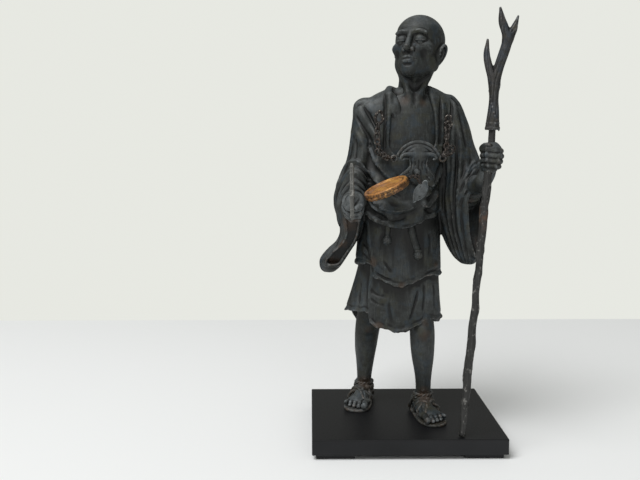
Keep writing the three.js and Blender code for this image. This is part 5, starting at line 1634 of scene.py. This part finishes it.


# Marks of wear and dust, and of painted light and shade, kept with the mesh for its finish

def mark_wear_and_shading(piece, spots=(), passes=(3, 16)):
    """Writes how far the skin stands out ("edge") or lies back, which the finish paints as shade in
    recesses, where it is worn, and where it is dusty or painted lighter as if lit from above.
    """
    mesh = piece.data
    count = len(mesh.vertices)

    def listed(items, name, width, kind=np.float32):
        values = np.empty(len(items) * width, kind)
        items.foreach_get(name, values)
        return values.reshape(-1, width)
    places = listed(mesh.vertices, "co", 3).astype(float)
    normals = listed(mesh.vertex_normals, "vector", 3)
    a, b = listed(mesh.edges, "vertices", 2, np.int32).T
    weight = np.maximum(np.bincount(a, minlength=count) + np.bincount(b, minlength=count), 1)

    def neighbours(values):
        total = np.bincount(a, values[b], count) + np.bincount(b, values[a], count)
        return total / weight
    around_it = np.stack([neighbours(places[:, c]) for c in range(3)], 1)
    lengths = np.linalg.norm(places[a] - places[b], axis=1)
    spacing = (np.bincount(a, lengths, count) + np.bincount(b, lengths, count)) / weight
    bend = -((around_it - places) * normals).sum(1) / np.maximum(spacing, 1e-6) ** 2 * MM
    values = []
    for number in range(max(passes)):
        bend = 0.5 * bend + 0.5 * neighbours(bend)
        if number + 1 in passes:
            values.append(bend.copy())
    fine, broad = values[0], values[-1]
    worn = np.zeros(count)
    for x, y, z, reach in spots:
        away = np.linalg.norm(places / MM - [x, y, z + PLINTH_TOP], axis=1)
        worn = np.maximum(worn, 1 - ease(away / reach))
    # Pale on faces that look upwards: partly dust, partly painted light from above. The listed spots add
    # more, or take some away, so that each place looks as lit as it should.
    dust = 0.5 * ease((normals[:, 2] - 0.15) / 0.75)
    for x, y, z, reach, amount in DUST_AND_LIGHT:
        away = np.linalg.norm(places / MM - [x, y, z + PLINTH_TOP], axis=1)
        near = 1 - ease(away / reach - 0.4)
        dust = np.maximum(dust, amount * near) if amount > 0 else dust * (1 + amount * near)
    marked(mesh, "edge", np.clip(fine * 1.6, 0, 1))
    # How far the skin lies back, which the finish darkens as painted shade.
    marked(mesh, "recess", np.clip(-broad * 10 - fine * 0.8, 0, 1))
    marked(mesh, "worn", worn)
    marked(mesh, "dust", dust)


# Finishes

def toned(colour, amount):
    return tuple(amount * c for c in colour)


class Finish:
    """A material's node tree, put together from short lines."""

    def __init__(self, name):
        self.material = bpy.data.materials.new(name)
        self.material.use_nodes = True
        self.tree = self.material.node_tree
        self.tree.nodes.clear()
        self.out = self.node("ShaderNodeOutputMaterial")
        self.shader = self.node("ShaderNodeBsdfPrincipled")
        self.join(self.shader.outputs[0], self.out.inputs["Surface"])
        self.place = self.node("ShaderNodeTexCoord").outputs["Object"]

    def node(self, kind, **values):
        made = self.tree.nodes.new(kind)
        for key, value in values.items():
            setattr(made, key, value)
        return made

    def join(self, source, socket):
        if isinstance(source, bpy.types.NodeSocket):
            self.tree.links.new(source, socket)
        elif isinstance(source, tuple) and len(source) == 3 and socket.type == "RGBA":
            socket.default_value = (*source, 1)
        else:
            socket.default_value = source

    def stretched(self, x, y, z):
        made = self.node("ShaderNodeMapping")
        made.inputs["Scale"].default_value = (x, y, z)
        self.join(self.place, made.inputs["Vector"])
        return made.outputs[0]

    def noise(self, scale, detail=4.0, rough=0.55, place=None):
        made = self.node("ShaderNodeTexNoise")
        self.join(place or self.place, made.inputs["Vector"])
        made.inputs["Scale"].default_value = scale
        made.inputs["Detail"].default_value = detail
        made.inputs["Roughness"].default_value = rough
        return made.outputs["Fac"]

    def mark(self, name):
        return self.node("ShaderNodeAttribute", attribute_name=name).outputs["Fac"]

    def span(self, value, low, high, to_low=0.0, to_high=1.0):
        made = self.node("ShaderNodeMapRange", clamp=True)
        for key, amount in (("Value", value), ("From Min", low), ("From Max", high), ("To Min", to_low),
                            ("To Max", to_high)):
            self.join(amount, made.inputs[key])
        return made.outputs["Result"]

    def sum(self, operation, a, b):
        made = self.node("ShaderNodeMath", operation=operation)
        self.join(a, made.inputs[0])
        self.join(b, made.inputs[1])
        return made.outputs[0]

    def blend(self, share, a, b):
        made = self.node("ShaderNodeMix", data_type="RGBA")
        self.join(share, made.inputs[0])
        self.join(a, made.inputs[6])
        self.join(b, made.inputs[7])
        return made.outputs[2]

    def bumps(self, *layers):
        normal = None
        for height, distance, strength in layers:
            made = self.node("ShaderNodeBump")
            self.join(height, made.inputs["Height"])
            made.inputs["Distance"].default_value = distance * MM
            made.inputs["Strength"].default_value = strength
            if normal:
                self.join(normal, made.inputs["Normal"])
            normal = made.outputs[0]
        self.join(normal, self.shader.inputs["Normal"])

    def set(self, **values):
        for key, value in values.items():
            self.join(value, self.shader.inputs[key.replace("_", " ")])
        return self.material


def resin_finish(name, dark, light, rub, pale, rub_amount=0.5, pale_amount=0.35):
    """Painted resin: cloudy charcoal with fine scratches, rubbed brown on edges and dry-brushed pale, with
    painted shade in recesses and pale dust that also paints light on upward faces.
    """
    f = Finish(name)
    cloud = f.noise(70, 3)
    mottle = f.noise(260, 4, 0.65)
    grain = f.noise(900, 3, 0.6)
    scratch = f.noise(1.0, 3, 0.6, f.stretched(1500, 1500, 110))
    scratch_fine = f.noise(1.0, 2, 0.6, f.stretched(3600, 3600, 260))
    across = f.noise(1.0, 2, 0.6, f.stretched(300, 500, 2600))
    tone = f.blend(f.span(f.sum("ADD", cloud, mottle), 0.86, 1.16), dark, light)
    cool = (light[0] * 0.8, light[1] * 1.1, light[2] * 1.5)
    olive = (light[0] * 1.3, light[1] * 1.12, light[2] * 0.7)
    tone = f.blend(f.span(f.noise(150, 3, 0.6), 0.5, 0.62, 0, 0.7), tone, cool)
    tone = f.blend(f.span(f.noise(118, 3, 0.6), 0.53, 0.66, 0, 0.65), tone, olive)
    tone = f.blend(f.span(scratch, 0.54, 0.68, 0, 0.62), tone, toned(light, 2.3))
    tone = f.blend(f.span(across, 0.6, 0.72, 0, 0.42), tone, toned(light, 2.2))
    tone = f.blend(f.span(scratch_fine, 0.32, 0.44, 0.6, 0), tone, toned(dark, 0.4))
    edge, recess, worn, dust = f.mark("edge"), f.mark("recess"), f.mark("worn"), f.mark("dust")
    # Pale dust and painted light: upward faces and the listed spots are made paler as if lit from above.
    tone = f.blend(f.sum("MULTIPLY", dust, f.span(f.noise(340, 4, 0.65), 0.36, 0.62, 0.2, 0.75)), tone,
                   toned(pale, 0.62))
    # Painted shade: recesses are darkened as if in shadow.
    tone = f.blend(f.span(recess, 0.06, 0.6, 0, 0.9), tone, toned(dark, 0.22))
    patch = f.sum("MULTIPLY", f.span(edge, 0.28, 0.62),
                  f.span(f.noise(210, 4, 0.65), 0.47, 0.62, 0, rub_amount))
    stain = f.span(f.sum("ADD", worn, mottle), 0.7, 1.3, 0, 0.7)
    tone = f.blend(f.sum("MULTIPLY", stain, f.span(worn, 0.0, 0.3)), tone, toned(rub, 0.42))
    tone = f.blend(patch, tone, toned(rub, 0.8))
    brushed = f.sum("MULTIPLY", f.span(edge, 0.22, 0.75),
                    f.span(f.noise(520, 3, 0.7), 0.42, 0.64, 0, pale_amount))
    tone = f.blend(brushed, tone, pale)
    f.bumps((cloud, 0.25, 0.3), (mottle, 0.1, 0.45), (scratch, 0.08, 0.6), (grain, 0.06, 0.5))
    return f.set(Base_Color=tone, Roughness=f.span(f.sum("ADD", grain, scratch), 0.7, 1.3, 0.46, 0.64),
                 Specular_IOR_Level=0.3)


def gold_finish(colour, dark):
    f = Finish("old_gold")
    speckle = f.noise(620, 4, 0.7)
    cloud = f.noise(120, 3)
    tone = f.blend(f.span(speckle, 0.42, 0.6), toned(colour, 0.5), colour)
    tone = f.blend(f.span(cloud, 0.45, 0.6, 0, 0.7), tone,
                   (colour[0] * 1.25, colour[1] * 1.5, colour[2] * 1.1))
    tone = f.blend(f.span(f.noise(150, 3), 0.52, 0.62, 0, 0.6), tone,
                   (colour[0] * 0.62, colour[1] * 0.8, colour[2] * 2.2))
    tone = f.blend(f.span(f.noise(1100, 3, 0.7), 0.56, 0.66, 0, 0.75), tone, dark)
    tone = f.blend(f.sum("MULTIPLY", f.mark("rim"), f.span(speckle, 0.44, 0.62, 0.96, 0.35)), tone,
                   toned(colour, 0.1))
    f.bumps((speckle, 0.12, 0.6), (f.noise(1800, 2), 0.03, 0.5))
    return f.set(Base_Color=tone, Metallic=0.2, Roughness=f.span(speckle, 0.35, 0.7, 0.62, 0.4))


def bronze_finish(colour, glint):
    f = Finish("dark_bronze")
    grime = f.noise(480, 4, 0.65)
    tone = f.blend(f.span(grime, 0.4, 0.62), toned(colour, 0.4), colour)
    tone = f.blend(f.span(f.noise(360, 3, 0.6), 0.55, 0.68, 0, 0.6), tone,
                   (colour[0] * 1.9, colour[1] * 1.4, colour[2]))
    tone = f.blend(f.sum("MULTIPLY", f.span(f.noise(900, 3, 0.7), 0.58, 0.66),
                         f.span(f.mark("edge"), 0.1, 0.6, 0.4, 1)), tone, glint)
    f.bumps((grime, 0.08, 0.5))
    return f.set(Base_Color=tone, Metallic=0.1, Roughness=f.span(grime, 0.35, 0.7, 0.42, 0.62),
                 Specular_IOR_Level=0.35)


def branch_finish(name, dark, light, speck, rubbed=None):
    f = Finish(name)
    grain = f.noise(1.0, 5, 0.65, f.stretched(1500, 1500, 90))
    patch = f.noise(160, 4, 0.6)
    tone = f.blend(f.span(grain, 0.38, 0.64), dark, light)
    tone = f.blend(f.span(patch, 0.52, 0.7, 0, 0.6), tone, toned(dark, 0.5))
    tone = f.blend(f.span(f.noise(420, 3, 0.75), 0.57, 0.66, 0, 0.7), tone, speck)
    if rubbed:
        low, high, colour = rubbed
        height = f.node("ShaderNodeSeparateXYZ")
        f.join(f.place, height.inputs[0])
        band = f.sum("MULTIPLY", f.span(height.outputs["Z"], low, low + 0.006),
                     f.span(height.outputs["Z"], high - 0.006, high, 1, 0))
        tone = f.blend(f.sum("MULTIPLY", band, f.span(patch, 0.48, 0.64, 0, 0.6)), tone, colour)
    f.bumps((patch, 0.25, 0.35), (grain, 0.12, 0.6))
    return f.set(Base_Color=tone, Roughness=f.span(patch, 0.3, 0.7, 0.5, 0.72), Specular_IOR_Level=0.4)


def lacquer_finish(colour):
    f = Finish("black_lacquer")
    fleck = f.noise(1400, 2, 0.5)
    tone = f.blend(f.span(f.noise(30, 3), 0.3, 0.7), toned(colour, 0.8), toned(colour, 1.25))
    tone = f.blend(f.span(f.noise(2600, 2, 0.7), 0.68, 0.76, 0, 0.5), tone, (0.07, 0.07, 0.068))
    # Painted shade: the top of the plinth is darker than its sides, as if less lit.
    height = f.node("ShaderNodeSeparateXYZ")
    f.join(f.place, height.inputs[0])
    tone = f.blend(f.span(height.outputs["Z"], 0.0098, 0.0106), tone, toned(colour, 0.55))
    f.bumps((fleck, 0.02, 0.35), (f.noise(90, 2), 0.15, 0.12))
    return f.set(Base_Color=tone, Roughness=f.span(fleck, 0.3, 0.7, 0.4, 0.5), Specular_IOR_Level=0.18)


# What a user of the panel would change

def length(name, description, default):
    return bpy.props.FloatProperty(name=name, description=description, default=default, unit="LENGTH",
                                   precision=5, min=0.00005)


def colour(name, description, default):
    return bpy.props.FloatVectorProperty(name=name, description=description, default=default,
                                         subtype="COLOR", size=3, min=0, max=1)


class MonkSizes(bpy.types.PropertyGroup):
    cloth_cell: length("Cloth cell", "Grid size that the robe is sculpted on", 0.0005)
    skin_cell: length("Skin cell", "Grid size for the head, hands and feet", 0.0003)
    fitting_cell: length("Fitting cell", "Grid size for the antler, the yoke and other small pieces",
                         0.00025)
    triangles: bpy.props.IntProperty(name="Triangles", description="Most triangles in one piece",
                                     default=190000, min=1000)
    chain_links: bpy.props.IntProperty(name="Chain links", description="Links in each chain", default=6,
                                       min=2, max=12)
    link_radius: length("Link radius", "Middle radius of a chain link", 0.00125)
    link_wire: length("Link wire", "Radius of a chain link's wire", 0.0006)
    plinth_bevel: length("Plinth bevel", "Width of the plinth's softened edges", 0.0005)


class MonkColours(bpy.types.PropertyGroup):
    resin_dark: colour("Resin, dark", "Darker tone of the painted resin", (0.0105, 0.0115, 0.0105))
    resin_light: colour("Resin, light", "Lighter tone of the painted resin", (0.0215, 0.0245, 0.0236))
    rubbed: colour("Rubbed", "Brown that shows where edges are rubbed", (0.10, 0.060, 0.036))
    # Also the tone of the pale dust, which paints light on upward faces.
    brushed: colour("Brushed", "Pale tone dry-brushed on raised skin", (0.22, 0.24, 0.25))
    gold: colour("Gold", "The gong's old gold", (0.46, 0.20, 0.05))
    bronze: colour("Bronze", "Chains and cords", (0.021, 0.0165, 0.014))
    wood: colour("Wood", "Staff and mallet", (0.027, 0.0272, 0.0255))
    antler: colour("Antler", "The staff's forked head", (0.028, 0.0272, 0.0268))
    straw: colour("Straw", "Sandals and ankle ropes", (0.025, 0.0225, 0.017))
    lacquer: colour("Lacquer", "The plinth", (0.0125, 0.0129, 0.0142))


class MonkStage(bpy.types.PropertyGroup):
    floor: colour("Floor", "Colour of the floor", (0.84, 0.85, 0.855))
    backdrop: colour("Backdrop", "Colour behind the floor", (0.80, 0.81, 0.76))
    ambient: bpy.props.FloatProperty(name="Ambient",
                                     description="Share of the backdrop's light that falls on the figure",
                                     default=0.37, min=0, max=1)
    key_power: bpy.props.FloatProperty(name="Key light", description="Power of the main light",
                                       default=42.0, min=0, unit="POWER")
    fill_power: bpy.props.FloatProperty(name="Fill light", description="Power of the side light",
                                        default=4.5, min=0, unit="POWER")


# Operators

def fitted(piece, finish, slot, *nodes):
    """Gives a piece its finish and its place in the frame."""
    piece.data.materials.clear()
    piece.data.materials.append(finish)
    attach(piece, "root")
    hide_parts(*nodes)


def carved(name, shape, cell, sizes, finish, slot, node, spots=()):
    """Shapes clay, skins and thins it, marks its wear and where to paint shade and light, and fits it in the
    frame.
    """
    clay = Clay(cell / MM)
    shape(clay)
    vertices, quads = clay.skin()
    mesh = meshed(name, vertices, quads.tolist())
    mesh.validate()
    mesh.shade_smooth()
    piece = thinned(in_scene(name, mesh), sizes.triangles)
    mark_wear_and_shading(piece, spots)
    fitted(piece, finish, slot, node)


class PieceOperator:
    bl_options = {"REGISTER", "UNDO"}

    def execute(self, context):
        colours = context.scene.monk_colours
        tones = {name: tuple(getattr(colours, name)) for name in MonkColours.__annotations__}
        self.make(context.scene.monk_sizes, SimpleNamespace(**tones))
        return {"FINISHED"}


def resin(colours, name, rub=0.5, pale=0.5, dark=None, light=None):
    return resin_finish(name, dark or colours.resin_dark, light or colours.resin_light, colours.rubbed,
                        colours.brushed,
                        rub, pale)


WORN = [
    (-1, -6, 172, 6), (9.5, -6, 171, 5), (3, -8, 176, 4), (11, -10, 46, 6), (-18, 8, 46, 5),
    (-14, -12, 51, 5), (12, -13, 54, 6), (26, 6, 54, 7), (-22, 0, 58, 4), (-19.4, 16, 12, 8),
    (11.8, -8, 12, 8), (-38, -4, 86, 5), (-33, -8, 95, 5), (-30, -10, 106, 8), (42, -10, 96, 8),
    (40, -12, 112, 6), (-28, -26, 109, 6), (-18, -10, 86, 5), (-2, -14, 74, 4), (18, -8, 84, 4),
    (-20, -12, 150, 5), (34, -12, 117, 5), (-12, -12, 158, 4), (22, -8, 170, 4), (4, 22, 60, 9),
    (-16, 20, 120, 8), (20, 20, 90, 8), (3, 20, 166, 7),
]


# Spots (x, y, z, reach, amount) where pale dust is added, or taken away where the amount is negative. These
# are partly dust and partly painted light and shade, which make a place look more or less lit.
DUST_AND_LIGHT = [
    (-28.4, -30, 117, 9, 1.0), (-27, -10, 121, 9, 0.5), (-24, 0, 4, 9, 0.55), (-21, 12, 24, 14, 0.3),
    (38, -30, 131, 6, 0.5), (16, -20, 3, 16, -1.0), (-22, 0, 173, 9, 0.7), (29, -4, 171, 4, 0.8),
    (3, -28, 124, 7, 0.7), (40, -36, 143, 4, 0.4), (6, 2, 218, 8, 0.7), (-8, -6, 166, 4, 0.4),
    (-34, -8, 120, 5, 0.5), (6, -18, 147, 8, 0.3), (-25, -8, 62, 10, 0.3), (0, -12, 156, 12, -0.5),
    (15, -12, 66, 12, 0.3), (11, -10, 35, 14, 0.2), (-2, -16, 88, 16, 0.12), (29, -16, 111, 13, -0.4),
]


class MONK_OT_robe(PieceOperator, bpy.types.Operator):
    """Sculpt the skirt, jacket, vest and sleeves"""
    bl_idname = "monk.robe"
    bl_label = "Robe"

    def make(self, sizes, colours):
        carved("monk_robe", shape_robe, sizes.cloth_cell, sizes, resin(colours, "robe_resin"),
               "dark_resin", "monk_figure", WORN)


class MONK_OT_head(PieceOperator, bpy.types.Operator):
    """Sculpt the head, neck and bare chest"""
    bl_idname = "monk.head"
    bl_label = "Head"

    def make(self, sizes, colours):
        carved("monk_head", shape_head, sizes.skin_cell, sizes, resin(colours, "skin_resin", 0.35, 0.6),
               "dark_resin", "monk_figure", WORN)


class MONK_OT_hands(PieceOperator, bpy.types.Operator):
    """Sculpt the two hands"""
    bl_idname = "monk.hands"
    bl_label = "Hands"

    def make(self, sizes, colours):
        carved("monk_hands", shape_hands, sizes.skin_cell, sizes, resin(colours, "hand_resin", 0.38, 0.5),
               "dark_resin", "monk_figure", WORN)


class MONK_OT_feet(PieceOperator, bpy.types.Operator):
    """Sculpt the legs, feet, sandals and ankle ropes"""
    bl_idname = "monk.feet"
    bl_label = "Legs and sandals"

    def make(self, sizes, colours):
        carved("monk_legs", shape_feet, sizes.skin_cell, sizes, resin(colours, "leg_resin", 0.5, 0.6),
               "dark_resin", "monk_figure", WORN)
        straw = resin(colours, "straw_resin", 0.6, 0.3, toned(colours.straw, 0.6), colours.straw)
        carved("monk_sandals", shape_sandals, sizes.skin_cell, sizes, straw, "dark_resin", "monk_figure",
               WORN)


class MONK_OT_staff(PieceOperator, bpy.types.Operator):
    """Make the staff's shaft and its forked antler head"""
    bl_idname = "monk.staff"
    bl_label = "Staff"

    def make(self, sizes, colours):
        wood, antler = colours.wood, colours.antler
        finish = branch_finish("staff_wood", toned(wood, 0.4), toned(wood, 0.85), (0.16, 0.155, 0.145),
                               (0.114, 0.132, (0.085, 0.046, 0.025)))
        fitted(swept("staff_branch", staff_stations(), 36, 300, branch_relief), finish, "aged_wood",
               "staff_shaft")
        horn = resin(colours, "antler_horn", 0.5, 0.5, toned(antler, 0.55), antler)
        carved("staff_antler", shape_antler, sizes.fitting_cell, sizes, horn, "antler", "staff_antler_head")


class MONK_OT_gong(PieceOperator, bpy.types.Operator):
    """Make the carved yoke, the gong and the knot that joins them"""
    bl_idname = "monk.gong"
    bl_label = "Yoke and gong"

    def make(self, sizes, colours):
        cell, bronze = sizes.fitting_cell, bronze_finish(colours.bronze, (0.16, 0.10, 0.055))
        carved("carved_yoke", shape_yoke, cell, sizes, resin(colours, "yoke_resin", 0.6, 0.6),
               "dark_resin", "chest_yoke", WORN)
        fitted(gong_mesh("gong_disc"), gold_finish(colours.gold, (0.05, 0.03, 0.018)), "old_gold", "gong")
        carved("gong_leaf", shape_leaf, cell, sizes, resin(colours, "leaf_resin", 0.3, 1.0),
               "dark_resin", "gong_hanger_knot")
        carved("gong_cord", shape_knot, cell, sizes, bronze, "dark_bronze", "gong_hanger_knot")


class MONK_OT_chains(PieceOperator, bpy.types.Operator):
    """Hang the two chains between the shoulders and the yoke"""
    bl_idname = "monk.chains"
    bl_label = "Chains"

    def make(self, sizes, colours):
        finish = bronze_finish(colours.bronze, (0.34, 0.31, 0.27))
        tree = chain_tree(finish)
        amounts = {"Links": sizes.chain_links, "Link Radius": sizes.link_radius,
                   "Link Wire": sizes.link_wire,
                   "Link Length": 1.3}
        for name, side in zip(CHAINS, SIDES):
            fitted(hang_chain(name, tree, amounts), finish, "dark_bronze", name)
            carved(name + "_eye", lambda clay: shape_chain_fittings(clay, side), sizes.fitting_cell, sizes,
                   finish,
                   "dark_bronze", name)


class MONK_OT_mallet(PieceOperator, bpy.types.Operator):
    """Make the small mallet in the figure's right hand"""
    bl_idname = "monk.mallet"
    bl_label = "Mallet"

    def make(self, sizes, colours):
        wood = branch_finish("mallet_wood", toned(colours.wood, 1.8), toned(colours.wood, 5),
                             (0.3, 0.29, 0.27))
        carved("gong_mallet", shape_mallet, sizes.fitting_cell, sizes, wood, "aged_wood", "mallet")


class MONK_OT_plinth(PieceOperator, bpy.types.Operator):
    """Make the lacquered plinth"""
    bl_idname = "monk.plinth"
    bl_label = "Plinth"

    def make(self, sizes, colours):
        fitted(plinth_mesh("lacquered_plinth", sizes.plinth_bevel), lacquer_finish(colours.lacquer),
               "black_lacquer", "plinth")


class MONK_OT_stage(bpy.types.Operator):
    """Set the camera, the floor and the lights"""
    bl_idname = "monk.stage"
    bl_label = "Stage"
    bl_options = {"REGISTER", "UNDO"}

    def execute(self, context):
        scene, stage = context.scene, context.scene.monk_stage
        camera = in_scene("camera", bpy.data.cameras.new("camera"))
        camera.data.lens = 44.38
        camera.data.sensor_width = 36
        camera.data.clip_start = 0.01
        camera.location = (-0.050746, -0.426949, 0.156314)
        pitch, yaw = math.radians(6.522), math.radians(0.715)
        ahead = Vector((math.sin(yaw) * math.cos(pitch), math.cos(yaw) * math.cos(pitch), -math.sin(pitch)))
        camera.rotation_euler = ahead.to_track_quat("-Z", "Y").to_euler()
        scene.camera = camera

        mesh = bpy.data.meshes.new("floor")
        mesh.from_pydata([(-3, -3, 0), (3, -3, 0), (3, 0.29, 0), (-3, 0.29, 0)], [], [(0, 1, 2, 3)])
        floor = in_scene("floor", mesh)
        f = Finish("floor_paper")
        tone = f.blend(f.noise(6, 3), toned(stage.floor, 0.985), tuple(stage.floor))
        mesh.materials.append(f.set(Base_Color=tone, Roughness=0.7, Specular_IOR_Level=0.3))

        world = bpy.data.worlds.new("soft_studio")
        world.use_nodes = True
        nodes, link = world.node_tree.nodes, world.node_tree.links.new
        ground = nodes["Background"]
        ground.inputs["Color"].default_value = (*stage.backdrop, 1)
        seen, shade = nodes.new("ShaderNodeLightPath"), nodes.new("ShaderNodeMapRange")
        link(seen.outputs["Is Camera Ray"], shade.inputs["Value"])
        shade.inputs["To Min"].default_value = stage.ambient
        link(shade.outputs["Result"], ground.inputs["Strength"])
        scene.world = world
        scene.view_settings.view_transform = "Standard"
        for name, place, size, power in (("key", (-0.8, -0.85, 1.8), 1.3, stage.key_power),
                                         ("fill", (0.4, -1.6, 0.4), 0.8, stage.fill_power)):
            light = bpy.data.lights.new(name, "AREA")
            light.energy, light.size = power, size
            lamp = in_scene(name, light)
            lamp.location = place
            lamp.rotation_euler = (Vector((0, 0, 0.12)) - Vector(place)).to_track_quat("-Z", "Y").to_euler()
        return {"FINISHED"}


class MONK_PT_panel(bpy.types.Panel):
    """Lists the figure's pieces"""
    bl_label = "Walking Monk Figure"
    bl_space_type = "VIEW_3D"
    bl_region_type = "UI"
    bl_category = "Monk"

    def draw(self, context):
        for group in (context.scene.monk_sizes, context.scene.monk_colours, context.scene.monk_stage):
            box = self.layout.box()
            for name in type(group).__annotations__:
                box.prop(group, name)
        for operator in OPERATORS:
            self.layout.operator(operator.bl_idname)


GROUPS = {"monk_sizes": MonkSizes, "monk_colours": MonkColours, "monk_stage": MonkStage}
OPERATORS = (MONK_OT_stage, MONK_OT_plinth, MONK_OT_feet, MONK_OT_robe, MONK_OT_head, MONK_OT_hands,
             MONK_OT_staff,
             MONK_OT_gong, MONK_OT_chains, MONK_OT_mallet)


def register():
    for made in (*GROUPS.values(), *OPERATORS, MONK_PT_panel):
        bpy.utils.register_class(made)
    for name, group in GROUPS.items():
        setattr(bpy.types.Scene, name, bpy.props.PointerProperty(type=group))


def unregister():
    for name in GROUPS:
        delattr(bpy.types.Scene, name)
    for made in reversed((*GROUPS.values(), *OPERATORS, MONK_PT_panel)):
        bpy.utils.unregister_class(made)


def main():
    register()
    bpy.ops.monk.stage()
    bpy.ops.monk.plinth()
    bpy.ops.monk.feet()
    bpy.ops.monk.robe()
    bpy.ops.monk.head()
    bpy.ops.monk.hands()
    bpy.ops.monk.staff()
    bpy.ops.monk.gong()
    bpy.ops.monk.chains()
    bpy.ops.monk.mallet()


if __name__ == "__main__":
    main()
